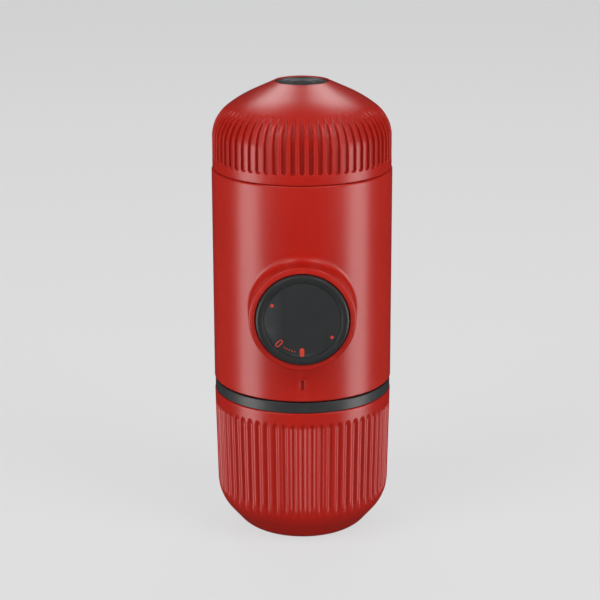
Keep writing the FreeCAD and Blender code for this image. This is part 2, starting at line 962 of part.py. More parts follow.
def cylinder_liner():
    """Steel barrel of the pump, ported above and below at its back end."""
    outline = [
        (liner_bore, s.liner_back),
        (liner_radius, s.liner_back),
        (liner_radius, s.liner_front),
        (liner_bore, s.liner_front),
    ]
    tube = on_pump_axis(turned("liner_tube", outline))
    low = s.pump_height - liner_radius - 1
    ports = cylinder(
        "liner_ports", s.port_radius, (liner_radius + 1) * 2, UPRIGHT, 0, s.valve_offset, low
    )
    return cut("cylinder_liner", tube, ports)


def gland_nut():
    """Flanged nut that closes the barrel and guides the rod."""
    bore = s.rod_radius + s.running_gap
    plug_end = s.liner_front + s.gland_plug
    outline = [
        (bore, s.liner_front),
        (liner_radius, s.liner_front),
        (liner_radius, plug_end),
        (s.gland_flange_radius, plug_end),
        (s.gland_flange_radius, plug_end + s.gland_flange),
        (bore, plug_end + s.gland_flange),
    ]
    return on_pump_axis(turned("gland_nut", outline))


# plunger and knob


def piston_rod():
    """Rod with its piston head behind and the flange that the spring pushes on in front."""
    groove_front = s.piston_back + (s.piston_length + s.piston_ring_width) / 2 + s.seat_gap
    groove_back = groove_front - s.piston_ring_width - s.seat_gap * 2
    groove = s.piston_radius - s.piston_ring_depth
    head_front = s.piston_back + s.piston_length
    end = knob_plate_back - s.seat_gap
    pilot = s.knob_screw_radius + s.running_gap
    outline = [
        (0, s.piston_back),
        (s.piston_radius, s.piston_back),
        (s.piston_radius, groove_back),
        (groove, groove_back),
        (groove, groove_front),
        (s.piston_radius, groove_front),
        (s.piston_radius, head_front),
        (s.rod_radius, head_front),
        (s.rod_radius, end - s.rod_flange),
        (s.rod_flange_radius, end - s.rod_flange),
        (s.rod_flange_radius, end),
        (pilot, end),
        (pilot, end - s.rod_pilot),
        (0, end - s.rod_pilot),
    ]
    return on_pump_axis(turned("piston_rod", outline))


def piston_ring():
    """Rubber ring in the groove of the piston head."""
    front = s.piston_back + (s.piston_length + s.piston_ring_width) / 2
    back = front - s.piston_ring_width
    inner = s.piston_radius - s.piston_ring_depth + s.running_gap
    ease = s.piston_ring_width / 4
    outline = [
        (inner, back),
        (s.piston_radius - ease, back),
        (s.piston_radius, back + ease),
        (s.piston_radius, front - ease),
        (s.piston_radius - ease, front),
        (inner, front),
    ]
    return on_pump_axis(turned("piston_ring", outline))


def spring_washer():
    """Dished washer that passes the spring's push to the rod's flange."""
    front = knob_plate_back - s.seat_gap - s.rod_flange
    inner = s.rod_radius + s.running_gap
    outline = [
        (inner, front - s.washer_thickness),
        (s.washer_radius, front - s.washer_thickness),
        (s.washer_radius, front),
        (inner, front),
    ]
    return on_pump_axis(turned("spring_washer", outline))


def return_spring():
    """Spring between the block and the washer, wound round the barrel's nose."""
    front = knob_plate_back - s.seat_gap - s.rod_flange - s.washer_thickness
    length = front - s.block_front
    item = coil(
        "return_spring",
        s.spring_radius.number,
        s.spring_wire.number,
        int(s.spring_turns.number),
        length.number,
    )
    return place(item, FORWARD, 0, -s.block_front, s.pump_height)


def knob_screw():
    """Screw that holds the knob on the rod and lets it turn."""
    seat = knob_plate_front - s.knob_screw_head_height - s.assembly_gap
    outline = [
        (0, seat - s.knob_screw_length),
        (s.knob_screw_radius, seat - s.knob_screw_length),
        (s.knob_screw_radius, seat + s.seat_gap),
        (s.knob_screw_head, seat + s.seat_gap),
        (s.knob_screw_head, seat + s.seat_gap + s.knob_screw_head_height),
        (0, seat + s.seat_gap + s.knob_screw_head_height),
    ]
    return on_pump_axis(turned("knob_screw", outline))


def piston_sleeve():
    """Cup-shaped knob with a raised rim round its face and two lugs at its back edge."""
    ease = s.knob_rim_round
    seat = knob_plate_front - s.knob_screw_head_height - s.assembly_gap
    pocket = s.knob_screw_head + s.assembly_gap
    hole = s.knob_screw_radius + s.running_gap * 2
    rim_inner = face_radius + s.running_gap
    outline = [
        (knob_bore, s.knob_back),
        (s.knob_radius, s.knob_back),
        (s.knob_radius, s.knob_front - ease),
        (s.knob_radius - ease / 3, s.knob_front - ease / 3),
        (s.knob_radius - ease, s.knob_front),
        (rim_inner + ease / 2, s.knob_front),
        (rim_inner, s.knob_front - ease / 2),
        (rim_inner, knob_plate_front),
        (pocket, knob_plate_front),
        (pocket, seat),
        (hole, seat),
        (hole, knob_plate_back),
        (knob_bore, knob_plate_back),
    ]
    sleeve = on_pump_axis(turned("sleeve_cup", outline))
    half = s.lug_width / 2
    reach = s.knob_radius + s.lug_height
    overlap = s.knob_radius - s.knob_wall / 2
    back = -s.knob_back
    lugs = [
        box(
            name,
            (low, back - s.lug_length, s.pump_height - half),
            (high, back, s.pump_height + half),
        )
        for name, low, high in (("left_lug", -reach, -overlap), ("right_lug", overlap, reach))
    ]
    return fused("piston_sleeve", [sleeve] + lugs)


def knob_face():
    """Printed disc let into the front of the knob."""
    front = s.knob_front - s.knob_face_recess
    outline = [
        (0, knob_plate_front),
        (face_radius, knob_plate_front),
        (face_radius, front),
        (0, front),
    ]
    return on_pump_axis(turned("knob_face", outline))


# outlet valve


def outlet_cage():
    """Ring that closes the valve's pocket and carries its spring."""
    low = s.brew_plate_top
    outline = [
        (s.outlet_cage_bore, low),
        (s.valve_pocket - s.running_gap, low),
        (s.valve_pocket - s.running_gap, low + s.outlet_cage_height),
        (s.outlet_cage_bore, low + s.outlet_cage_height),
    ]
    return place(turned("outlet_cage", outline), UPRIGHT, 0, s.valve_offset, 0)


# brewing face


def brew_head():
    """Plate over the coffee with its spreading chamber, and the socket for the outlet head."""
    bore = s.head_neck_radius + s.thread_gap
    screw = s.screen_screw_radius + s.running_gap
    screw_end = brew_ring_bottom + s.screen_screw_length
    outline = [
        (0, screw_end),
        (screw, screw_end),
        (screw, brew_plate_bottom),
        (s.chamber_radius, brew_plate_bottom),
        (s.chamber_radius, brew_ring_bottom),
        (bore, brew_ring_bottom),
        (bore, body_bottom + s.thread_gap),
        (insert_radius, body_bottom + s.thread_gap),
        (insert_radius, s.brew_plate_top),
        (0, s.brew_plate_top),
    ]
    low = brew_plate_bottom - 1
    hole = cylinder(
        "brew_hole", s.brew_hole, s.brew_plate_thickness + 2, UPRIGHT, 0, s.valve_offset, low
    )
    return cut("brew_head", turned("brew_blank", outline), hole)


def perforations(name, rings, spacing, low, length):
    """Six-sided holes in rings, six more in each ring than in the last."""
    holes = []
    for ring in range(1, rings + 1):
        count = 6 * ring
        for index in range(count):
            angle = 2 * math.pi * index / count
            hole = doc.addObject("Part::Prism", f"{name}_{ring}_{index + 1}")
            hole.Polygon = 6
            bind(hole, "Circumradius", s.perforation)
            bind(hole, "Height", length)
            across = spacing * ring * math.cos(angle)
            holes.append(place(hole, UPRIGHT, across, spacing * ring * math.sin(angle), low))
    return together(name, holes)


def shower_screen():
    """Perforated disc that spreads the water over the coffee."""
    low = brew_ring_bottom - s.screen_thickness
    bore = s.screen_screw_radius + s.running_gap
    outline = [
        (bore, low),
        (s.screen_radius, low),
        (s.screen_radius, brew_ring_bottom),
        (bore, brew_ring_bottom),
    ]
    holes = perforations("screen_holes", 2, s.perforation_spacing, low - 1, s.screen_thickness + 2)
    return cut("shower_screen", turned("screen_blank", outline), holes)


def screen_screw():
    """Screw up through the middle of the screen."""
    outline = screw_outline(
        s.screen_screw_radius,
        s.screen_thickness + s.screen_screw_length,
        s.screen_screw_head,
        s.screen_screw_head_height,
    )
    return place(turned("screen_screw", outline), UPRIGHT, 0, 0, brew_ring_bottom - s.screen_thickness)


def brew_seal():
    """Flat rubber ring that the basket's rim is pressed against."""
    low = brew_ring_bottom - s.brew_seal_thickness
    outer = s.head_neck_radius
    outline = [
        (s.brew_seal_inner, low),
        (outer, low),
        (outer, brew_ring_bottom),
        (s.brew_seal_inner, brew_ring_bottom),
    ]
    return turned("brew_seal", outline)


def filter_basket():
    """Pressed steel basket with a flat rim and a perforated floor."""
    floor = basket_top - s.basket_depth - s.basket_floor
    rim = s.basket_radius + s.basket_rim_width
    ease = s.basket_wall
    outline = [
        (0, floor),
        (basket_outer - ease, floor),
        (basket_outer, floor + ease),
        (basket_outer, basket_top - s.basket_rim),
        (rim, basket_top - s.basket_rim),
        (rim, basket_top),
        (s.basket_radius, basket_top),
        (s.basket_radius, floor + s.basket_floor),
        (0, floor + s.basket_floor),
    ]
    spacing = s.basket_perforation_spacing
    holes = perforations("basket_holes", 2, spacing, floor - 1, s.basket_floor + 2)
    return cut("filter_basket", turned("basket_blank", outline), holes)


# outlet head


def outlet_head():
    """Neck, visible band, spigot for the cup and funnel in one moulding."""
    band = s.body_radius - s.ring_inset
    ease = s.seam_bevel / 2
    groove_high = ring_bottom - s.cup_seal_width
    groove_low = groove_high - s.cup_seal_width - s.seat_gap * 2
    groove = s.spigot_radius - s.cup_seal_depth
    spigot_end = ring_bottom - s.spigot_length
    boss_bore = s.nozzle_radius + s.running_gap
    boss_top = s.head_floor - s.funnel_drop
    outline = [
        (s.head_neck_radius, head_top),
        (s.head_neck_radius, ring_top),
        (band - ease, ring_top),
        (band, ring_top - ease),
        (band, ring_bottom + ease),
        (band - ease, ring_bottom),
        (s.spigot_radius, ring_bottom),
        (s.spigot_radius, groove_high),
        (groove, groove_high),
        (groove, groove_low),
        (s.spigot_radius, groove_low),
        (s.spigot_radius, spigot_end + s.cup_seal_depth),
        (s.spigot_radius - s.cup_seal_depth, spigot_end),
        (s.head_neck_bore + s.funnel_bore, spigot_end),
        (s.head_boss_radius, boss_top - s.shell_wall * 2),
        (s.head_boss_radius, s.head_boss_end),
        (boss_bore, s.head_boss_end),
        (boss_bore, boss_top - s.cup_seal_depth),
        (s.funnel_bore, boss_top - s.cup_seal_depth),
        (s.funnel_bore, boss_top),
        (s.head_neck_bore, s.head_floor),
        (s.head_neck_bore, head_top),
    ]
    return turned("outlet_head", outline)


def cup_seal():
    """Rubber ring on the spigot that holds the cup on."""
    high = ring_bottom - s.cup_seal_width - s.seat_gap
    low = high - s.cup_seal_width
    inner = s.spigot_radius - s.cup_seal_depth + s.running_gap
    outer = s.spigot_radius + s.assembly_gap
    crest = s.cup_seal_width / 3
    outline = [
        (inner, low),
        (outer - crest, low),
        (outer, low + crest),
        (outer, high - crest),
        (outer - crest, high),
        (inner, high),
    ]
    return turned("cup_seal", outline)


def outlet_nozzle():
    """Flanged spout in the boss under the funnel."""
    top = s.head_floor - s.funnel_drop - s.cup_seal_depth - s.seat_gap
    flange_top = s.head_boss_end - s.seat_gap
    flange_low = flange_top - s.nozzle_length / 6
    end = top - s.nozzle_length
    outline = [
        (s.nozzle_bore, end),
        (s.nozzle_tip, end),
        (s.nozzle_flange - s.nozzle_bore, flange_low),
        (s.nozzle_flange, flange_low),
        (s.nozzle_flange, flange_top),
        (s.nozzle_radius, flange_top),
        (s.nozzle_radius, top),
        (s.nozzle_bore, top),
    ]
    return turned("outlet_nozzle", outline)


# drinking cup and scoop


def cup_blank():
    """The cup before its flutes: tapered wall, rounded shoulder, cone and rounded foot."""
    wall = s.shell_wall
    base_end = s.cup_base_radius + s.cup_base_round * sine(s.cup_base_turn)
    base_end_height = s.cup_base_round * (1 - cosine(s.cup_base_turn))
    shoulder_low = s.cup_foot_radius - s.cup_shoulder_round * (1 - cosine(s.cup_shoulder_turn))
    shoulder_low_height = s.cup_foot_height - s.cup_shoulder_round * sine(s.cup_shoulder_turn)
    inner_low = shoulder_low - wall * cosine(s.cup_shoulder_turn)
    inner_low_height = shoulder_low_height + wall * sine(s.cup_shoulder_turn)
    outline = [
        (0, 0),
        (s.cup_base_radius, 0, s.cup_base_round),
        (base_end, base_end_height),
        (shoulder_low, shoulder_low_height, s.cup_shoulder_round),
        (s.cup_foot_radius, s.cup_foot_height),
        (s.cup_rim_radius, s.cup_height - s.seam_bevel),
        (s.cup_rim_radius - s.seam_bevel, s.cup_height),
        (s.cup_rim_radius - wall, s.cup_height),
        (s.cup_foot_radius - wall, s.cup_foot_height),
        (inner_low, inner_low_height),
        (s.cup_floor_radius, s.cup_floor),
        (0, s.cup_floor),
    ]
    return turned("cup_blank", outline)


def cup_flutes():
    """Straight cutters that follow the wall's taper and run out where the shoulder turns in."""
    depth = s.cup_flute_depth.number
    rise = s.cup_height.number - s.cup_foot_height.number
    lean = (s.cup_rim_radius.number - s.cup_foot_radius.number) / rise
    top = s.cup_flute_top.number
    low = s.cup_foot_height.number - s.cup_shoulder_round.number / 2
    radius = s.cup_rim_radius.number - lean * (s.cup_height.number - top)
    width = s.cup_flute_width.number
    section = flute_section(radius, 0, width, s.cup_flute_floor.number, depth)
    section.rotate(Vector(radius - depth, 0, 0), Vector(0, 1, 0), -90)
    section.translate(Vector(0, 0, top))
    run = Vector(-lean, 0, -1) * (top - low)
    item = doc.addObject("Part::Feature", "cup_flutes")
    item.Shape = around(section.extrude(run), int(s.cup_flute_count.number))
    return item


def cup():
    return cut("cup", cup_blank(), cup_flutes())


def scoop():
    """Measuring scoop and tamper standing in the cup, its foot bevelled to clear the cup's wall."""
    low = s.cup_floor + s.seat_gap
    floor = low + s.scoop_wall
    top = low + s.scoop_height
    inner = s.scoop_radius - s.scoop_wall
    outline = [
        (0, low),
        (s.scoop_radius - s.scoop_bevel, low),
        (s.scoop_radius, low + s.scoop_bevel),
        (s.scoop_radius, top),
        (inner, top),
        (inner, floor + s.scoop_bevel / 2),
        (inner - s.scoop_bevel / 2, floor),
        (0, floor),
    ]
    return turned("scoop", outline)


PIECES = [
    water_tank(),
    tank_badge(),
    tank_seal(),
    tank_socket(),
    inlet_strainer(),
    inlet_seat(),
    valve_ball("inlet_ball", inlet_ball_height),
    valve_spring("inlet_spring", s.pump_height + barrel_radius, inlet_ball_height),
    vent_valve(),
    body_shell(),
    collar_bush(),
    pump_block(),
    block_screws(),
    lock_plate(),
    cylinder_liner(),
    gland_nut(),
    return_spring(),
    piston_rod(),
    piston_ring(),
    spring_washer(),
    knob_screw(),
    piston_sleeve(),
    knob_face(),
    valve_ball("outlet_ball", outlet_ball_height),
    valve_spring("outlet_spring", s.brew_plate_top + s.outlet_cage_height, outlet_ball_height),
    outlet_cage(),
    brew_head(),
    brew_seal(),
    shower_screen(),
    screen_screw(),
    filter_basket(),
    outlet_head(),
    cup_seal(),
    outlet_nozzle(),
    scoop(),
    cup(),
]

doc.recompute()


def failures():
    """Objects that did not compute, and pieces whose shape is missing or broken."""
    wrong = []
    for item in doc.Objects:
        if "Invalid" in item.State or "Error" in item.State:
            wrong.append(f"{item.Name} {item.State}")
    for piece in PIECES:
        if piece.Shape.isNull() or not piece.Shape.isValid() or not piece.Shape.Solids:
            wrong.append(f"{piece.Name} has no sound solid")
    return wrong


problems = failures()
if problems:
    raise RuntimeError("; ".join(problems))

os.makedirs("parts", exist_ok=True)
for piece in PIECES:
    piece.Label = piece.Name
    piece.Shape.exportStep(f"parts/{piece.Name}.step")
    print(piece.Name, len(piece.Shape.Solids), "solid", round(piece.Shape.Volume, 1), "cubic mm")
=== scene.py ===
import math
import bmesh
import bpy
from mathutils import Matrix, Vector


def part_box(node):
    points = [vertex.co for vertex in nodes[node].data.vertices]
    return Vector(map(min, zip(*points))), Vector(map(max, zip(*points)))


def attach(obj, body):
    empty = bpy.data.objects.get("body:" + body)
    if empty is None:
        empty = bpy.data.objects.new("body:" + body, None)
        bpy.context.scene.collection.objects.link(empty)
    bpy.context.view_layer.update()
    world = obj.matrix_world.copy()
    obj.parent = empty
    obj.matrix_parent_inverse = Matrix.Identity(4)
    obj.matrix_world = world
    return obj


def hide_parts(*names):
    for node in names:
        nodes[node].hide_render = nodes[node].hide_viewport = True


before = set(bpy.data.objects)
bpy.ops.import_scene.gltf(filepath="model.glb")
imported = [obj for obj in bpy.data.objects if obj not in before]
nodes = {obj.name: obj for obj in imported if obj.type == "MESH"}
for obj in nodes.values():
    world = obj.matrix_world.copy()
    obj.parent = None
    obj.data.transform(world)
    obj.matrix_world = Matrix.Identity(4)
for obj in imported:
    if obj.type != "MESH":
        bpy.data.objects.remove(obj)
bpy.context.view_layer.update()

# Camera. It stands in front of the knob and a little above the object, with a long lens, as a
# product photographer places it, and leans by the photograph's own fraction of a degree.
CAMERA_DISTANCE = 0.6631
CAMERA_RISE = math.radians(16.75)
CAMERA_AIM = Vector((-0.0008, 0, 0.08105))
CAMERA_ROLL = math.radians(-0.17)
LENS_MM = 114.7

camera_data = bpy.data.cameras.new("camera")
camera_data.lens = LENS_MM
camera_data.sensor_width = 36
camera_data.sensor_fit = "HORIZONTAL"
camera_data.clip_start = 0.01
camera = bpy.data.objects.new("camera", camera_data)
bpy.context.scene.collection.objects.link(camera)
camera.location = CAMERA_AIM + Vector(
    (0, -math.cos(CAMERA_RISE), math.sin(CAMERA_RISE))
) * CAMERA_DISTANCE
look = (CAMERA_AIM - camera.location).to_track_quat("-Z", "Y")
camera.rotation_euler = (look.to_matrix() @ Matrix.Rotation(CAMERA_ROLL, 3, "Z")).to_euler()
bpy.context.scene.camera = camera
bpy.context.scene.view_settings.view_transform = "Standard"

# Studio. A pale floor that curves up into a pale backdrop, a low strip light on each side whose
# reflections make the two upright bands on the red paint, and soft fills from the sides, from
# above and from behind. The floor lets the strips' light through, so the bands reach the foot.
FLOOR_REACH = 3.0
FLOOR_DEPTH = 1.4
FLOOR_BEND = 0.6
FLOOR_BEND_STEPS = 16
FLOOR_TINT = (0.62, 0.62, 0.625, 1)
FLOOR_SEEN = (0.11, 0.11, 0.11, 1)
FLOOR_BOUNCE = (0.3, 0.3, 0.3, 1)
SKY_STRENGTH = 0.03
LIGHT_AIM = Vector((0, 0, 0.08))


def new_material(name):
    """An empty node material with its output and Principled shader."""
    material = bpy.data.materials.new(name)
    material.use_nodes = True
    tree = material.node_tree
    tree.nodes.clear()
    output = tree.nodes.new("ShaderNodeOutputMaterial")
    shader = tree.nodes.new("ShaderNodeBsdfPrincipled")
    tree.links.new(shader.outputs["BSDF"], output.inputs["Surface"])
    return material, tree, shader


def link_new(name, mesh):
    """A new object for a mesh, linked to the scene."""
    piece = bpy.data.objects.new(name, mesh)
    bpy.context.scene.collection.objects.link(piece)
    return piece


floor_mesh = bpy.data.meshes.new("floor")
floor_shape = bmesh.new()
floor_profile = [(-FLOOR_REACH, 0.0), (FLOOR_DEPTH, 0.0)]
for step in range(1, FLOOR_BEND_STEPS + 1):
    angle = math.pi / 2 * step / FLOOR_BEND_STEPS
    floor_profile.append(
        (FLOOR_DEPTH + FLOOR_BEND * math.sin(angle), FLOOR_BEND * (1 - math.cos(angle)))
    )
floor_profile.append((FLOOR_DEPTH + FLOOR_BEND, FLOOR_REACH))
rows = [
    [floor_shape.verts.new((side * FLOOR_REACH, along, up)) for side in (-1, 1)]
    for along, up in floor_profile
]
for low, high in zip(rows, rows[1:]):
    floor_shape.faces.new((low[0], low[1], high[1], high[0])).smooth = True
floor_shape.to_mesh(floor_mesh)
floor_shape.free()
floor = link_new("floor", floor_mesh)
floor.visible_glossy = False
floor.visible_shadow = False
floor_paint, tree, shader = new_material("floor_paper")
shader.inputs["Roughness"].default_value = 0.8
shader.inputs["Specular IOR Level"].default_value = 0.2
ray = tree.nodes.new("ShaderNodeLightPath")
paper = tree.nodes.new("ShaderNodeMix")
paper.data_type = "RGBA"
paper.inputs["A"].default_value = FLOOR_BOUNCE
paper.inputs["B"].default_value = FLOOR_SEEN
fibres = tree.nodes.new("ShaderNodeTexNoise")
fibres.inputs["Scale"].default_value = 900
tooth = tree.nodes.new("ShaderNodeBump")
tooth.inputs["Distance"].default_value = 0.00002
tree.links.new(ray.outputs["Is Camera Ray"], paper.inputs["Factor"])
tree.links.new(paper.outputs["Result"], shader.inputs["Base Color"])
tree.links.new(fibres.outputs["Fac"], tooth.inputs["Height"])
tree.links.new(tooth.outputs["Normal"], shader.inputs["Normal"])
shader.inputs["Emission Color"].default_value = FLOOR_TINT
tree.links.new(ray.outputs["Is Camera Ray"], shader.inputs["Emission Strength"])
floor_mesh.materials.append(floor_paint)

sky = bpy.data.worlds.new("studio_air")
sky.use_nodes = True
sky.node_tree.nodes["Background"].inputs["Color"].default_value = (1, 1, 1, 1)
sky.node_tree.nodes["Background"].inputs["Strength"].default_value = SKY_STRENGTH
bpy.context.scene.world = sky


def softbox(name, azimuth, rise, distance, width, height, watts, in_reflections=True):
    """An area light on a sphere round the object, aimed at the middle of the body."""
    data = bpy.data.lights.new(name, "AREA")
    data.shape = "RECTANGLE"
    data.size = width
    data.size_y = height
    data.energy = watts
    lamp = bpy.data.objects.new(name, data)
    bpy.context.scene.collection.objects.link(lamp)
    turn = math.radians(azimuth)
    lift = math.radians(rise)
    away = Vector(
        (math.sin(turn) * math.cos(lift), -math.cos(turn) * math.cos(lift), math.sin(lift))
    )
    lamp.location = LIGHT_AIM + away * distance
    lamp.rotation_euler = (-away).to_track_quat("-Z", "Y").to_euler()
    lamp.visible_glossy = in_reflections


for side, name, strip_turn, fill_turn in ((-1, "left", 71, 50), (1, "right", 74, 53)):
    softbox(name + "_strip", side * strip_turn, -12, 0.9, 0.44, 0.6, 2.3)
    softbox(name + "_softbox", side * fill_turn, 16, 0.9, 0.5, 1.0, 7.5, in_reflections=False)
    softbox(name + "_upper_softbox", side * 52, 54, 1.0, 0.4, 0.3, 0.7)
    softbox(name + "_back_softbox", side * 157, 52, 1.0, 0.3, 0.4, 1.35)
softbox("front_softbox", 0, 58, 1.3, 1.9, 0.9, 4.5, in_reflections=False)

# Paints and plastics. The grain group gives a moulded or sprayed surface its fine tooth, the wear
# group lightens the raised edges that hands rub, and every finish below is built from the two.


def grain_group():
    """Fine surface tooth: a normal, and a mask that drifts slowly over the surface."""
    group = bpy.data.node_groups.new("surface_grain", "ShaderNodeTree")
    group.interface.new_socket("Scale", in_out="INPUT", socket_type="NodeSocketFloat")
    group.interface.new_socket("Depth", in_out="INPUT", socket_type="NodeSocketFloat")
    group.interface.new_socket("Normal", in_out="OUTPUT", socket_type="NodeSocketVector")
    group.interface.new_socket("Drift", in_out="OUTPUT", socket_type="NodeSocketFloat")
    group.interface.new_socket("Speckle", in_out="OUTPUT", socket_type="NodeSocketFloat")
    enter = group.nodes.new("NodeGroupInput")
    leave = group.nodes.new("NodeGroupOutput")
    place = group.nodes.new("ShaderNodeTexCoord")
    fine = group.nodes.new("ShaderNodeTexNoise")
    fine.inputs["Detail"].default_value = 3
    fine.inputs["Roughness"].default_value = 0.6
    slow = group.nodes.new("ShaderNodeTexNoise")
    slow.inputs["Scale"].default_value = 45
    slow.inputs["Detail"].default_value = 4
    bump = group.nodes.new("ShaderNodeBump")
    bump.inputs["Strength"].default_value = 1
    link = group.links.new
    link(place.outputs["Object"], fine.inputs["Vector"])
    link(place.outputs["Object"], slow.inputs["Vector"])
    link(enter.outputs["Scale"], fine.inputs["Scale"])
    link(enter.outputs["Depth"], bump.inputs["Distance"])
    link(fine.outputs["Fac"], bump.inputs["Height"])
    link(bump.outputs["Normal"], leave.inputs["Normal"])
    link(slow.outputs["Fac"], leave.inputs["Drift"])
    link(fine.outputs["Fac"], leave.inputs["Speckle"])
    return group


def wear_group():
    """Rubbed edges: a mask that is 1 on sharp convex edges, broken up by noise."""
    group = bpy.data.node_groups.new("rubbed_edges", "ShaderNodeTree")
    group.interface.new_socket("Low", in_out="INPUT", socket_type="NodeSocketFloat")
    group.interface.new_socket("High", in_out="INPUT", socket_type="NodeSocketFloat")
    group.interface.new_socket("Mask", in_out="OUTPUT", socket_type="NodeSocketFloat")
    enter = group.nodes.new("NodeGroupInput")
    leave = group.nodes.new("NodeGroupOutput")
    shape = group.nodes.new("ShaderNodeNewGeometry")
    spread = group.nodes.new("ShaderNodeMapRange")
    noise = group.nodes.new("ShaderNodeTexNoise")
    noise.inputs["Scale"].default_value = 260
    noise.inputs["Detail"].default_value = 4
    place = group.nodes.new("ShaderNodeTexCoord")
    broken = group.nodes.new("ShaderNodeMath")
    broken.operation = "MULTIPLY"
    link = group.links.new
    link(shape.outputs["Pointiness"], spread.inputs["Value"])
    link(enter.outputs["Low"], spread.inputs["From Min"])
    link(enter.outputs["High"], spread.inputs["From Max"])
    link(place.outputs["Object"], noise.inputs["Vector"])
    link(spread.outputs["Result"], broken.inputs[0])
    link(noise.outputs["Fac"], broken.inputs[1])
    link(broken.outputs["Value"], leave.inputs["Mask"])
    return group


surface_grain = grain_group()
rubbed_edges = wear_group()


def finish(name, deep, pale, worn, rough, grain_scale, grain_depth, metal=0.0, level=0.5):
    """A surface whose colour drifts between two shades and turns to a third on rubbed edges."""
    material, tree, shader = new_material(name)
    grain = tree.nodes.new("ShaderNodeGroup")
    grain.node_tree = surface_grain
    grain.inputs["Scale"].default_value = grain_scale
    grain.inputs["Depth"].default_value = grain_depth
    wear = tree.nodes.new("ShaderNodeGroup")
    wear.node_tree = rubbed_edges
    wear.inputs["Low"].default_value = 0.52
    wear.inputs["High"].default_value = 0.62
    shade = tree.nodes.new("ShaderNodeMix")
    shade.data_type = "RGBA"
    shade.inputs["A"].default_value = (*deep, 1)
    shade.inputs["B"].default_value = (*pale, 1)
    rub = tree.nodes.new("ShaderNodeMix")
    rub.data_type = "RGBA"
    rub.inputs["B"].default_value = (*worn, 1)
    gloss = tree.nodes.new("ShaderNodeMapRange")
    gloss.inputs["To Min"].default_value = rough[0]
    gloss.inputs["To Max"].default_value = rough[1]
    link = tree.links.new
    link(grain.outputs["Drift"], shade.inputs["Factor"])
    link(shade.outputs["Result"], rub.inputs["A"])
    link(wear.outputs["Mask"], rub.inputs["Factor"])
    link(rub.outputs["Result"], shader.inputs["Base Color"])
    link(grain.outputs["Speckle"], gloss.inputs["Value"])
    link(gloss.outputs["Result"], shader.inputs["Roughness"])
    link(grain.outputs["Normal"], shader.inputs["Normal"])
    shader.inputs["Metallic"].default_value = metal
    shader.inputs["Specular IOR Level"].default_value = level
    return material


red_paint = finish(
    "red_soft_touch_paint",
    (0.33, 0.0075, 0.003),
    (0.38, 0.0095, 0.0042),
    (0.45, 0.028, 0.018),
    (0.27, 0.35),
    5200,
    0.000012,
    level=0.9,
)
dark_satin = finish(
    "dark_satin_plastic",
    (0.016, 0.0165, 0.017),
    (0.021, 0.022, 0.0225),
    (0.05, 0.052, 0.055),
    (0.34, 0.44),
    4200,
    0.000012,
    level=0.9,
)


def dress(material, *names):
    """Gives carried-over pieces their finish."""
    for name in names:
        slots = nodes[name].data.materials
        slots.clear()
        slots.append(material)


# Tank. It is moulded in one piece and sprayed with red soft-touch paint: a short wall, a rounded
# shoulder and a shallow cone, with 64 scooped grip flutes and a threaded neck that goes down into
# the body. The flutes start round-ended above a plain band and run out to points on the cone.
TANK_FLUTES = 64
TANK_FLUTE_SHARE = 0.37
TANK_FLUTE_DEPTH = 0.001
TANK_FLUTE_WALL = 0.00036
TANK_FLUTE_LOW = 0.1319
TANK_FLUTE_REACH = 0.0240
TANK_FLUTE_TAPER = 0.0065
TANK_FLUTE_COLUMNS = (0, 0.12, 0.21, 0.24, 0.265, 0.29, 0.315, 0.34, 0.36, 0.38, 0.42, 0.5)
SHOULDER_ROUND = 0.0126
SHOULDER_TURN = math.radians(52)
CROWN_ROUND = 0.045
CROWN_TURN = math.radians(65)
TANK_RIM = 0.0093
SEAM_BEVEL = 0.0004
SEAM_GAP = 0.0002
TANK_WALL = 0.0018
NECK_RADIUS = 0.0260
NECK_BORE = 0.0236
NECK_BEVEL = 0.0003
NECK_GROOVE = 0.001
NECK_GROOVE_LOW = 0.0014
NECK_GROOVE_HIGH = 0.0034
RIM_BEVEL = 0.0001
BADGE_FLOOR = 0.002
BADGE_BOSS = 0.0119
ON_AXIS = 1e-6


def smooth_step(value, low, high):
    share = min(max((value - low) / (high - low), 0.0), 1.0)
    return share * share * (3 - 2 * share)


def arc_points(centre, radius, start, end, steps):
    """Points on an arc in the half plane, as (radius, height)."""
    points = []
    for step in range(steps + 1):
        angle = start + (end - start) * step / steps
        points.append(
            (centre[0] + radius * math.cos(angle), centre[1] + radius * math.sin(angle))
        )
    return points


def straight(start, end, steps):
    """Evenly spaced points on a line in the half plane."""
    across = end[0] - start[0]
    up = end[1] - start[1]
    return [
        (start[0] + across * step / steps, start[1] + up * step / steps) for step in range(steps + 1)
    ]


def chain(*stretches):
    """Joins stretches of a profile end to end, without its double points."""
    points = []
    for stretch in stretches:
        for point in stretch:
            if not points or math.dist(point, points[-1]) > 1e-7:
                points.append(point)
    return points


def mesh_piece(name, shape, material, sharp=None, smooth=True, place=None):
    """Ends a shape as an object: its normals, its edges sharper than some degrees, its material."""
    bmesh.ops.recalc_face_normals(shape, faces=shape.faces)
    if sharp:
        limit = math.radians(sharp)
        for edge in shape.edges:
            edge.smooth = edge.calc_face_angle(0) < limit
    for face in shape.faces:
        face.smooth = smooth
    if place:
        bmesh.ops.transform(shape, matrix=place, verts=shape.verts)
    mesh = bpy.data.meshes.new(name)
    shape.to_mesh(mesh)
    shape.free()
    mesh.materials.append(material)
    return link_new(name, mesh)


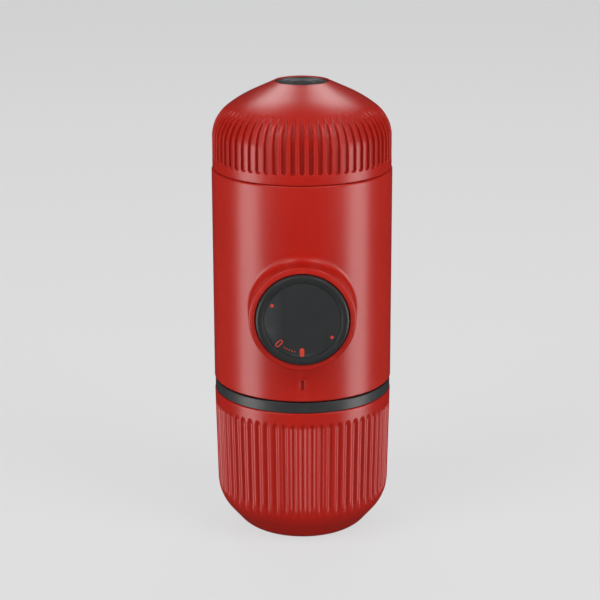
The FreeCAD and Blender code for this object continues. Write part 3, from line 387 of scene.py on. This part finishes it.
def spin(name, profile, columns, material, scoop=None, sharp=40, place=None):
    """Turns a profile, from axis to axis or closed on itself, about the upright axis.

    columns are the angles, in radians. scoop gives how far a point of the profile is sunk along
    its inward normal at an angle. place moves the finished piece to another axis.
    """
    shape = bmesh.new()
    closed = profile[0][0] > ON_AXIS
    count = len(profile)
    normals = []
    for index, (across, up) in enumerate(profile):
        before = profile[(index - 1) % count] if closed else profile[max(index - 1, 0)]
        after = profile[(index + 1) % count] if closed else profile[min(index + 1, count - 1)]
        run = Vector((after[0] - before[0], after[1] - before[1]))
        run.normalize()
        normals.append((run.y, -run.x))
    rings = []
    for index, (across, up) in enumerate(profile):
        if across < ON_AXIS:
            rings.append([shape.verts.new((0, 0, up))])
            continue
        ring = []
        for angle in columns:
            sunk = scoop(index, across, up, angle) if scoop else 0.0
            radius = across - normals[index][0] * sunk
            height = up - normals[index][1] * sunk
            ring.append(
                shape.verts.new((radius * math.cos(angle), radius * math.sin(angle), height))
            )
        rings.append(ring)
    pairs = list(zip(rings, rings[1:]))
    if closed:
        pairs.append((rings[-1], rings[0]))
    turns = len(columns)
    for low, high in pairs:
        if 1 in (len(low), len(high)) and abs(low[0].co.z - high[0].co.z) < 1e-7:
            shape.faces.new(low if len(high) == 1 else high)
            continue
        for index in range(turns):
            following = (index + 1) % turns
            if len(low) == 1:
                corners = (low[0], high[following], high[index])
            elif len(high) == 1:
                corners = (low[index], low[following], high[0])
            else:
                corners = (low[index], low[following], high[following], high[index])
            shape.faces.new(corners)
    lone = [vert for vert in shape.verts if not vert.link_faces]
    bmesh.ops.delete(shape, geom=lone, context="VERTS")
    return mesh_piece(name, shape, material, sharp, place=place)


def even_columns(count):
    return [2 * math.pi * index / count for index in range(count)]


def flute_columns(count, shares):
    """Angles that crowd together at the ribs of a fluted ring, from shares of half a pitch."""
    pitch = 2 * math.pi / count
    offsets = sorted({-share for share in shares if share < 0.5} | set(shares))
    return [pitch * (flute + offset) for flute in range(count) for offset in offsets]


tank_low, tank_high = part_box("water_tank")
tank_radius = tank_high.x
seam_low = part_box("body_shell")[1].z + SEAM_GAP
shoulder_end_radius = tank_radius - SHOULDER_ROUND * (1 - math.cos(SHOULDER_TURN))
crown_end_radius = shoulder_end_radius - CROWN_ROUND * (math.cos(SHOULDER_TURN) - math.cos(CROWN_TURN))
crown_end_height = tank_high.z - (crown_end_radius - TANK_RIM) / math.tan(CROWN_TURN)
shoulder_end = (
    shoulder_end_radius,
    crown_end_height - CROWN_ROUND * (math.sin(CROWN_TURN) - math.sin(SHOULDER_TURN)),
)
shoulder_low = shoulder_end[1] - SHOULDER_ROUND * math.sin(SHOULDER_TURN)
shoulder_centre = (tank_radius - SHOULDER_ROUND, shoulder_low)
crown_centre = (
    shoulder_end[0] - CROWN_ROUND * math.cos(SHOULDER_TURN),
    shoulder_end[1] - CROWN_ROUND * math.sin(SHOULDER_TURN),
)
badge_low, badge_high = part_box("tank_badge")
recess_radius = badge_high.x + 0.0002

tank_outside = chain(
    straight((NECK_RADIUS, seam_low), (tank_radius - SEAM_BEVEL, seam_low), 2),
    arc_points((tank_radius - SEAM_BEVEL, seam_low + SEAM_BEVEL), SEAM_BEVEL, -math.pi / 2, 0, 4),
    straight((tank_radius, seam_low + SEAM_BEVEL), (tank_radius, TANK_FLUTE_LOW - 0.0004), 4),
    straight((tank_radius, TANK_FLUTE_LOW - 0.0004), (tank_radius, TANK_FLUTE_LOW + 0.0012), 12),
    straight((tank_radius, TANK_FLUTE_LOW + 0.0012), (tank_radius, shoulder_low), 8),
    arc_points(shoulder_centre, SHOULDER_ROUND, 0, SHOULDER_TURN, 26),
    arc_points(crown_centre, CROWN_ROUND, SHOULDER_TURN, CROWN_TURN, 22),
    straight((crown_end_radius, crown_end_height), (TANK_RIM + 0.00035, tank_high.z - 0.00018), 6),
    [(TANK_RIM + RIM_BEVEL, tank_high.z - 0.00003), (TANK_RIM - RIM_BEVEL, tank_high.z)],
    [(recess_radius + RIM_BEVEL, tank_high.z), (recess_radius, tank_high.z - RIM_BEVEL)],
    [(recess_radius, badge_low.z), (0.0, badge_low.z)],
)
tank_inside = chain(
    [(0.0, badge_low.z - BADGE_FLOOR), (BADGE_BOSS, badge_low.z - BADGE_FLOOR)],
    [(crown_end_radius - 0.0008, crown_end_height - 0.0017)],
    arc_points(crown_centre, CROWN_ROUND - TANK_WALL, CROWN_TURN, SHOULDER_TURN, 4),
    arc_points(shoulder_centre, SHOULDER_ROUND - TANK_WALL, SHOULDER_TURN, 0, 8),
    [(tank_radius - TANK_WALL, seam_low + TANK_WALL), (NECK_BORE, seam_low + TANK_WALL)],
    [(NECK_BORE, tank_low.z), (NECK_RADIUS - NECK_BEVEL, tank_low.z)],
    [(NECK_RADIUS, tank_low.z + NECK_BEVEL), (NECK_RADIUS, tank_low.z + NECK_GROOVE_LOW)],
    [(NECK_RADIUS - NECK_GROOVE, tank_low.z + NECK_GROOVE_LOW)],
    [(NECK_RADIUS - NECK_GROOVE, tank_low.z + NECK_GROOVE_HIGH)],
    [(NECK_RADIUS, tank_low.z + NECK_GROOVE_HIGH)],
)
tank_profile = tank_inside + tank_outside


def along_profile(profile):
    """Distance run along a profile to each of its points."""
    total = 0.0
    runs = [0.0]
    for before, after in zip(profile, profile[1:]):
        total += math.dist(before, after)
        runs.append(total)
    return runs


tank_runs = along_profile(tank_profile)
first_outside = len(tank_inside)
flute_start_run = None
flute_end_run = None
for index in range(first_outside, len(tank_profile)):
    across, up = tank_profile[index]
    if flute_start_run is None and up >= TANK_FLUTE_LOW - 1e-9 and across > 0.02:
        flute_start_run = tank_runs[index]
    if flute_end_run is None and across <= TANK_FLUTE_REACH and up > 0.14:
        flute_end_run = tank_runs[index]


def tank_scoop(index, across, up, angle):
    """Depth of the scooped flutes: round-ended below, pointed where they run out above."""
    if index < first_outside:
        return 0.0
    run = tank_runs[index]
    if run < flute_start_run - 1e-6 or run > flute_end_run:
        return 0.0
    pitch = 2 * math.pi / TANK_FLUTES
    offset = (angle / pitch + 0.5) % 1.0 - 0.5
    half_width = TANK_FLUTE_SHARE * pitch * tank_radius
    fade = min((flute_end_run - run) / TANK_FLUTE_TAPER, 1.0)
    width = half_width * (across / tank_radius) * fade ** 0.7
    sideways = abs(offset) * pitch * across
    below = max(flute_start_run + half_width - run, 0.0)
    inward = width - math.hypot(sideways, below)
    return TANK_FLUTE_DEPTH * fade ** 0.8 * smooth_step(inward, 0.0, TANK_FLUTE_WALL)


tank = spin(
    "red_tank",
    tank_profile,
    flute_columns(TANK_FLUTES, TANK_FLUTE_COLUMNS),
    red_paint,
    tank_scoop,
    sharp=50,
)
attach(tank, "tank")
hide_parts("water_tank")

# Threads. The tank's neck and the outlet head's neck are screwed into moulded sockets. Each has
# a shallow round-nosed thread, moulded with it, whose ridges run between those of its socket.
THREAD_PITCH = 0.0024
THREAD_HEIGHT = 0.0003
THREAD_FOOT = 0.0010
THREAD_NOSE = 0.0004
THREAD_ROOT = 0.00005
THREAD_STEPS = 72


def thread(name, body, material, radius, low, high, phase=0.0, inward=False):
    """A ridge wound round a neck, or inside a socket, that fades out at both of its ends."""
    shape = bmesh.new()
    side = -1 if inward else 1
    turns = (high - low) / THREAD_PITCH
    steps = int(turns * THREAD_STEPS)
    rows = []
    for step in range(steps + 1):
        angle = 2 * math.pi * (phase + step / THREAD_STEPS)
        middle = low + THREAD_PITCH * step / THREAD_STEPS
        rise = min(step, steps - step, THREAD_STEPS // 9) / (THREAD_STEPS // 9)
        crest = radius + side * (THREAD_HEIGHT * rise - THREAD_ROOT * (1 - rise))
        root = radius - side * THREAD_ROOT
        row = []
        for reach, offset in (
            (root, -THREAD_FOOT / 2),
            (crest, -THREAD_NOSE / 2),
            (crest + side * 0.00004 * rise, 0),
            (crest, THREAD_NOSE / 2),
            (root, THREAD_FOOT / 2),
        ):
            row.append(
                shape.verts.new((reach * math.cos(angle), reach * math.sin(angle), middle + offset))
            )
        rows.append(row)
    for before, after in zip(rows, rows[1:]):
        for index in range(5):
            following = (index + 1) % 5
            shape.faces.new((before[index], before[following], after[following], after[index]))
    for row in (rows[0], rows[-1]):
        shape.faces.new(row)
    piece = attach(mesh_piece(name, shape, material, sharp=40), body)


black_moulding = finish(
    "black_moulding",
    (0.012, 0.012, 0.0125),
    (0.017, 0.017, 0.0175),
    (0.045, 0.045, 0.046),
    (0.42, 0.55),
    3600,
    0.000015,
)
SOCKET_BORE = 0.0264
neck_thread_low = tank_low.z + 0.0056
neck_thread_high = seam_low - 0.0026
thread(
    "tank_neck_thread", "tank", red_paint, NECK_RADIUS, neck_thread_low,
    neck_thread_high,
)
thread(
    "tank_socket_thread", "body", black_moulding, SOCKET_BORE,
    neck_thread_low, neck_thread_high, phase=0.5, inward=True,
)

# Badge. A satin disc glued into the recess at the top of the tank. Its edge is a raised bead and
# its middle a shallow dish, left plain.
BADGE_BEAD = 0.0011
BADGE_DISH = 0.00055
BADGE_BEAD_TURN = math.pi * 0.8

badge_radius = badge_high.x
badge_profile = chain(
    [(0.0, badge_low.z), (badge_radius - RIM_BEVEL, badge_low.z)],
    [(badge_radius, badge_low.z + RIM_BEVEL)],
    arc_points(
        (badge_radius - BADGE_BEAD / 2, badge_high.z - BADGE_BEAD / 2),
        BADGE_BEAD / 2,
        0,
        BADGE_BEAD_TURN,
        12,
    ),
    [(badge_radius - BADGE_BEAD - 0.0003, badge_high.z - BADGE_DISH)],
    [(0.0056, badge_high.z - BADGE_DISH), (0.0054, badge_high.z - BADGE_DISH + 0.00016)],
    [(0.0051, badge_high.z - BADGE_DISH + 0.00016), (0.0049, badge_high.z - BADGE_DISH)],
    [(0.003, badge_high.z - BADGE_DISH), (0.0, badge_high.z - BADGE_DISH)],
)
badge = spin("badge", badge_profile, even_columns(160), dark_satin)
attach(badge, "tank")
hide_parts("tank_badge")

# Tank seal. A black rubber ring stretched into a groove of the neck, under its thread.
rubber = finish(
    "black_rubber",
    (0.014, 0.014, 0.014),
    (0.022, 0.022, 0.021),
    (0.05, 0.05, 0.048),
    (0.55, 0.75),
    2600,
    0.00002,
    level=0.35,
)
dress(rubber, "tank_seal")

# Tank socket. The deck that closes the body under the tank, moulded in black with the socket
# wall, and the cup of fine gauze that stands over the inlet, a separate snap-on piece.
dress(black_moulding, "tank_socket", "inlet_strainer")

# Suction valve. A turned brass seat pressed into the deck, a steel ball that lifts against it
# and the little square-wire spring that pushes the ball up from the pump's pocket.
bright_steel = finish(
    "bright_steel",
    (0.66, 0.66, 0.66),
    (0.74, 0.74, 0.74),
    (0.8, 0.8, 0.8),
    (0.08, 0.16),
    1800,
    0.000002,
    metal=1.0,
)
spring_steel = finish(
    "drawn_steel",
    (0.5, 0.5, 0.51),
    (0.62, 0.62, 0.63),
    (0.72, 0.72, 0.72),
    (0.2, 0.34),
    2200,
    0.000006,
    metal=1.0,
)
brass = finish(
    "turned_brass",
    (0.62, 0.44, 0.19),
    (0.74, 0.55, 0.27),
    (0.85, 0.68, 0.4),
    (0.16, 0.3),
    2400,
    0.000004,
    metal=1.0,
)
dress(brass, "inlet_seat")
dress(bright_steel, "inlet_ball")
dress(spring_steel, "inlet_spring")

# Air valve. A soft rubber umbrella pulled through the deck. Its cap lifts to let air into the
# tank as the water leaves, and closes when the tank is turned over.
dress(rubber, "vent_valve")

# Cup. A drinking cup moulded to match the tank and sprayed with the same paint. Its 60 softer
# flutes start under a plain rim band and fade out where the wall rounds in to the flat foot.
CUP_FLUTES = 60
CUP_FLUTE_DEPTH = 0.00078
CUP_FLUTE_TOP = 0.0467
CUP_FLUTE_ARCH = 0.0026
CUP_FLUTE_FOOT = 0.0105
CUP_FLUTE_FULL = 0.0165
CUP_FLUTE_SHARE = 0.43
CUP_FLUTE_COLUMNS = (0, 0.07, 0.14, 0.2, 0.26, 0.32, 0.38, 0.44, 0.5)
CUP_WALL = 0.0018
CUP_RIM = 0.03062
CUP_WALL_FOOT = (0.02995, 0.017)
CUP_SHOULDER = 0.0148
CUP_SHOULDER_TURN = math.radians(41)
CUP_BASE = 0.0161
CUP_BASE_ROUND = 0.0087
CUP_BASE_TURN = math.radians(49)
CUP_FLOOR = (0.0203, 0.003)

cup_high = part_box("cup")[1].z
cup_shoulder_centre = (CUP_WALL_FOOT[0] - CUP_SHOULDER, CUP_WALL_FOOT[1])
cup_outside = chain(
    [(0.0, 0.0), (CUP_BASE * 0.6, 0.0)],
    arc_points(
        (CUP_BASE, CUP_BASE_ROUND), CUP_BASE_ROUND, -math.pi / 2, CUP_BASE_TURN - math.pi / 2, 12
    ),
    arc_points(cup_shoulder_centre, CUP_SHOULDER, -CUP_SHOULDER_TURN, 0, 26),
    straight(CUP_WALL_FOOT, (CUP_RIM - 0.00010, CUP_FLUTE_TOP - CUP_FLUTE_ARCH), 10),
    straight(
        (CUP_RIM - 0.00010, CUP_FLUTE_TOP - CUP_FLUTE_ARCH),
        (CUP_RIM - 0.00006, CUP_FLUTE_TOP + 0.0003),
        14,
    ),
    straight((CUP_RIM - 0.00006, CUP_FLUTE_TOP + 0.0003), (CUP_RIM, cup_high - SEAM_BEVEL), 3),
    arc_points((CUP_RIM - SEAM_BEVEL, cup_high - SEAM_BEVEL), SEAM_BEVEL, 0, math.pi / 2, 4),
)
cup_inside = chain(
    arc_points(
        (CUP_RIM - CUP_WALL + SEAM_BEVEL, cup_high - SEAM_BEVEL),
        SEAM_BEVEL,
        math.pi / 2,
        math.pi,
        4,
    ),
    [(CUP_WALL_FOOT[0] - CUP_WALL, CUP_WALL_FOOT[1])],
    arc_points(cup_shoulder_centre, CUP_SHOULDER - CUP_WALL, 0, -CUP_SHOULDER_TURN, 10),
    arc_points((CUP_FLOOR[0] - 0.002, CUP_FLOOR[1] + 0.0022), 0.0022, -0.6, -math.pi / 2, 6),
    [(0.0, CUP_FLOOR[1])],
)
cup_profile = cup_outside + cup_inside
cup_outside_count = len(cup_outside)


def cup_scoop(index, across, up, angle):
    """Depth of the soft flutes, arched at the top and fading out at the foot."""
    if index >= cup_outside_count or up > CUP_FLUTE_TOP or up < CUP_FLUTE_FOOT:
        return 0.0
    pitch = 2 * math.pi / CUP_FLUTES
    offset = (angle / pitch + 0.5) % 1.0 - 0.5
    below = max(up - (CUP_FLUTE_TOP - CUP_FLUTE_ARCH), 0.0) / CUP_FLUTE_ARCH
    reach = math.hypot(offset / CUP_FLUTE_SHARE, below)
    if reach >= 1:
        return 0.0
    fade = smooth_step(up, CUP_FLUTE_FOOT, CUP_FLUTE_FULL)
    return CUP_FLUTE_DEPTH * fade * (0.5 + 0.5 * math.cos(math.pi * reach ** 1.25))


cup = spin(
    "red_cup",
    cup_profile,
    flute_columns(CUP_FLUTES, CUP_FLUTE_COLUMNS),
    red_paint,
    cup_scoop,
    sharp=50,
)
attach(cup, "drinking_cup")
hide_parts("cup")

# Body. A plain red tube with the knob's collar blended into its front, sprayed like the tank.
# The upright index mark below the collar is moulded in, a slot with rounded ends.
dress(red_paint, "body_shell")

# Index mark. A slot with a soft raised edge, moulded in the body under the collar. The knob's
# full mark stands over it when the knob is locked.
MARK_SLOT_WIDTH = 0.0017
MARK_SLOT_LENGTH = 0.0036
MARK_SLOT_HEIGHT = 0.0605
MARK_EDGE = 0.00022
MARK_EDGE_RISE = 0.6
MARK_EDGE_SIDES = 10


def pill_outline(width, length, steps=10):
    """A slot's outline round its own middle, its long way upright."""
    half = width / 2
    reach = (length - width) / 2
    points = []
    for end, start in ((1, 0.0), (-1, math.pi)):
        for step in range(steps + 1):
            angle = start + math.pi * step / steps
            points.append((half * math.cos(angle), end * reach + half * math.sin(angle)))
    return points


body_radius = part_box("body_shell")[1].x
edge_shape = bmesh.new()
edge_rings = []
deeper = Vector((0, 1, 0))
round_turn = 2 * math.pi / MARK_EDGE_SIDES
outline = pill_outline(MARK_SLOT_WIDTH, MARK_SLOT_LENGTH)
for index, (x, z) in enumerate(outline):
    ahead = outline[(index + 1) % len(outline)]
    behind = outline[index - 1]
    run = Vector((ahead[0] - behind[0], 0, ahead[1] - behind[1])).normalized()
    outward = Vector((run.z, 0, -run.x))
    middle = Vector((x, -math.sqrt(body_radius ** 2 - x ** 2), MARK_SLOT_HEIGHT + z))
    edge_rings.append(
        [
            edge_shape.verts.new(
                middle
                + outward * MARK_EDGE * math.cos(round_turn * step)
                + deeper * MARK_EDGE_RISE * MARK_EDGE * math.sin(round_turn * step)
            )
            for step in range(MARK_EDGE_SIDES)
        ]
    )
for index, ring in enumerate(edge_rings):
    following = edge_rings[(index + 1) % len(edge_rings)]
    for step in range(MARK_EDGE_SIDES):
        after = (step + 1) % MARK_EDGE_SIDES
        edge_shape.faces.new((ring[step], ring[after], following[after], following[step]))
mark_edge = mesh_piece("index_mark_edge", edge_shape, red_paint)
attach(mark_edge, "body")

# Collar lip. The front edge of the collar is part of the body's moulding: a face that leans back
# a little towards a small round edge. It is modelled as its own ring over the collar's front.
LIP_RADIUS = 0.0177
LIP_ROUND = 0.0007
LIP_LEAN = math.radians(9)
LIP_LENGTH = 0.0026
COLLAR_BORE = 0.0156
KNOB_SIDES = 192

face_low, face_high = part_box("knob_face")
pump_height = (face_low.z + face_high.z) / 2
collar_front = -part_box("body_shell")[0].y
forward = Matrix.Translation((0, 0, pump_height)) @ Matrix.Rotation(math.pi / 2, 4, "X")
lip_front = collar_front + 0.00012
lip_edge = lip_front - (LIP_RADIUS - LIP_ROUND - COLLAR_BORE) * math.tan(LIP_LEAN)
lip_profile = chain(
    [(LIP_RADIUS - 0.0006, lip_front - LIP_LENGTH), (LIP_RADIUS - 0.0001, lip_edge - 0.0014)],
    [(LIP_RADIUS, lip_edge - 0.0008)],
    arc_points(
        (LIP_RADIUS - LIP_ROUND, lip_edge - LIP_ROUND), LIP_ROUND, 0, math.pi / 2 - LIP_LEAN, 10
    ),
    [(COLLAR_BORE + 0.0002, lip_front), (COLLAR_BORE, lip_front - 0.0002)],
    [(COLLAR_BORE, lip_front - 0.0009), (COLLAR_BORE + 0.0005, lip_front - LIP_LENGTH)],
)
lip = spin("collar_lip", lip_profile, even_columns(KNOB_SIDES), red_paint, place=forward)
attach(lip, "body")

# Knob sleeve. The round push knob, moulded in dark satin plastic as a cup with a thick crowned
# rim. It slides in the collar, and two lugs at its back edge lock behind the plate inside.
RIM_CREST = 0.4
RIM_OUTER_ROUND = 0.0010
RIM_INNER_DROP = 0.00042
KNOB_WALL = 0.00175
SLEEVE_BACK = 0.0020
PLATE_BACK = 0.03565
SCREW_HEAD_RADIUS = 0.0031
SCREW_HEAD_DEPTH = 0.0017
SCREW_HOLE = 0.0016
LUG_WIDTH = 0.0040
LUG_LENGTH = 0.0025
LUG_ROOT = 0.0009
PRESS_GAP = 0.00005

sleeve_low, sleeve_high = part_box("piston_sleeve")
knob_radius = (sleeve_high.z - sleeve_low.z) / 2
knob_front = -sleeve_low.y
knob_bore = knob_radius - KNOB_WALL
face_radius = face_high.x
face_back = -face_high.y
face_front = -face_low.y


def rim_crown(steps):
    """Section of the rim from its outer side over the crest to its inner edge."""
    width = knob_radius - face_radius - PRESS_GAP
    points = []
    for step in range(steps + 1):
        share = step / steps
        if share < RIM_CREST:
            drop = RIM_OUTER_ROUND * (1 - math.sqrt(max(1 - (1 - share / RIM_CREST) ** 2, 0)))
        else:
            drop = RIM_INNER_DROP * ((share - RIM_CREST) / (1 - RIM_CREST)) ** 2
        points.append((knob_radius - width * share, knob_front - drop))
    return points


sleeve_profile = chain(
    [(knob_bore, SLEEVE_BACK), (knob_radius, SLEEVE_BACK)],
    rim_crown(24),
    [(face_radius + PRESS_GAP, face_back), (SCREW_HEAD_RADIUS, face_back)],
    [(SCREW_HEAD_RADIUS, face_back - SCREW_HEAD_DEPTH), (SCREW_HOLE, face_back - SCREW_HEAD_DEPTH)],
    [(SCREW_HOLE, PLATE_BACK), (knob_bore, PLATE_BACK)],
)
sleeve = spin("knob_sleeve", sleeve_profile, even_columns(KNOB_SIDES), dark_satin, place=forward)
lug_shape = bmesh.new()
lug_shape.from_mesh(sleeve.data)
for side in (-1, 1):
    lug = bmesh.ops.create_cube(lug_shape, size=1)["verts"]
    inner = knob_radius - LUG_ROOT
    outer = sleeve_high.x
    bmesh.ops.scale(lug_shape, verts=lug, vec=(outer - inner, LUG_LENGTH, LUG_WIDTH))
    bmesh.ops.translate(
        lug_shape,
        verts=lug,
        vec=(side * (inner + outer) / 2, -SLEEVE_BACK - LUG_LENGTH / 2, pump_height),
    )
lug_shape.to_mesh(sleeve.data)
lug_shape.free()
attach(sleeve, "knob")
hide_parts("piston_sleeve")

# Knob face. A dark disc pressed into the rim. Its red marks are printed on: a full pill for the
# locked place, an open one for the unlocked place with small dots between, and two round dots.
MARK_THICKNESS = 0.00003
MARK_CIRCLE = 0.0109
PILL_WIDTH = 0.0015
PILL_LENGTH = 0.0030
PILL_LINE = 0.00034
UNLOCK_TURN = 45
SMALL_DOT = 0.00022
ROUND_DOT = 0.00058

disc_profile = chain(
    [(0.0, face_back), (face_radius, face_back), (face_radius, face_front - 0.0001)],
    [(face_radius - 0.0001, face_front), (0.0, face_front)],
)
disc = spin("knob_disc", disc_profile, even_columns(KNOB_SIDES), dark_satin, place=forward)
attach(disc, "knob")
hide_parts("knob_face")


def mark(shape, outline, degrees, circle, hole=None):
    """Adds a printed mark on a circle round the disc's middle, degrees round from straight down."""
    turn = math.radians(degrees)
    matrix = Matrix.Rotation(turn, 4, "Y") @ Matrix.Translation((0, 0, -circle))
    base = Matrix.Translation((0, 0, pump_height))

    def ring(points, lift):
        return [
            shape.verts.new(base @ matrix @ Vector((x, -face_front - lift, z))) for x, z in points
        ]

    top = ring(outline, MARK_THICKNESS)
    foot = ring(outline, -MARK_THICKNESS)
    count = len(outline)
    for index in range(count):
        following = (index + 1) % count
        shape.faces.new((foot[index], foot[following], top[following], top[index]))
    if not hole:
        shape.faces.new(top)
        shape.faces.new(foot)
        return
    inner_top = ring(hole, MARK_THICKNESS)
    inner_foot = ring(hole, -MARK_THICKNESS)
    for index in range(count):
        following = (index + 1) % count
        shape.faces.new((top[index], top[following], inner_top[following], inner_top[index]))
        shape.faces.new((foot[index], foot[following], inner_foot[following], inner_foot[index]))
        shape.faces.new(
            (inner_foot[index], inner_foot[following], inner_top[following], inner_top[index])
        )


def dot_outline(radius):
    return [
        (radius * math.cos(2 * math.pi * step / 20), radius * math.sin(2 * math.pi * step / 20))
        for step in range(20)
    ]


red_ink = finish(
    "red_print",
    (0.40, 0.030, 0.016),
    (0.46, 0.036, 0.020),
    (0.5, 0.06, 0.04),
    (0.4, 0.5),
    6000,
    0.000006,
)
marks_shape = bmesh.new()
mark(marks_shape, pill_outline(PILL_WIDTH, PILL_LENGTH), 1, MARK_CIRCLE)
mark(
    marks_shape,
    pill_outline(PILL_WIDTH, PILL_LENGTH),
    UNLOCK_TURN,
    MARK_CIRCLE,
    hole=pill_outline(PILL_WIDTH - PILL_LINE * 2, PILL_LENGTH - PILL_LINE * 2),
)
for number in range(5):
    mark(marks_shape, dot_outline(SMALL_DOT), 13.5 + 5 * number, MARK_CIRCLE)
for degrees in (117.5, -59.5):
    mark(marks_shape, dot_outline(ROUND_DOT), degrees, MARK_CIRCLE + 0.0003)
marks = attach(mesh_piece("knob_marks", marks_shape, red_ink, smooth=False), "knob")

# Collar bush and lock plate. The slippery black ring that the knob runs in, and the moulded
# plate across the body whose slots let the knob's lugs through.
dress(black_moulding, "collar_bush", "lock_plate")

# Pump block. The black moulding that carries the pump, hung from the deck by four steel screws.
dress(black_moulding, "pump_block")
dress(bright_steel, "block_screws")

# Pump barrel. A drawn steel liner slid into the block, closed by a turned brass nut.
dress(spring_steel, "cylinder_liner")
dress(brass, "gland_nut")

# Plunger. A turned steel rod with a rubber ring in its head, a dished washer and the screw that
# holds the knob on, and the wire spring that pushes them all out again.
dress(spring_steel, "piston_rod", "spring_washer", "return_spring")
dress(rubber, "piston_ring")
dress(bright_steel, "knob_screw")

# Delivery valve. The same ball and spring as above, held in the block by a black ring.
dress(bright_steel, "outlet_ball")
dress(spring_steel, "outlet_spring")
dress(black_moulding, "outlet_cage")

# Brewing face. A black plate with the head's socket under it, a drilled steel screen on one
# screw, and a white silicone ring that the basket is pressed against.
silicone = finish(
    "white_silicone",
    (0.62, 0.61, 0.57),
    (0.70, 0.69, 0.65),
    (0.75, 0.74, 0.7),
    (0.5, 0.65),
    2200,
    0.00001,
    level=0.4,
)
dress(black_moulding, "brew_head")
dress(spring_steel, "shower_screen")
dress(bright_steel, "screen_screw")
dress(silicone, "brew_seal")
HEAD_NECK_RADIUS = 0.0259
HEAD_SOCKET_BORE = 0.0263
head_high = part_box("outlet_head")[1]
head_thread_low = head_high.z - 0.0066
head_thread_high = head_high.z - 0.0012
thread(
    "head_socket_thread", "body", black_moulding, HEAD_SOCKET_BORE,
    head_thread_low, head_thread_high, phase=0.5, inward=True,
)

# Filter basket. A deep-drawn steel cup with a flat rim and holes through its floor.
dress(spring_steel, "filter_basket")

# Outlet head. The dark band between the body and the cup is its flange, with a threaded neck
# above it, a plug that the cup is pushed on to below, and a funnel down to the spout.
dress(dark_satin, "outlet_head")
dress(rubber, "cup_seal")
dress(black_moulding, "outlet_nozzle")
thread(
    "head_neck_thread", "head", dark_satin, HEAD_NECK_RADIUS, head_thread_low,
    head_thread_high,
)

# Scoop. A plain dark plastic measure that stands in the cup and presses the coffee down.
dress(dark_satin, "scoop")
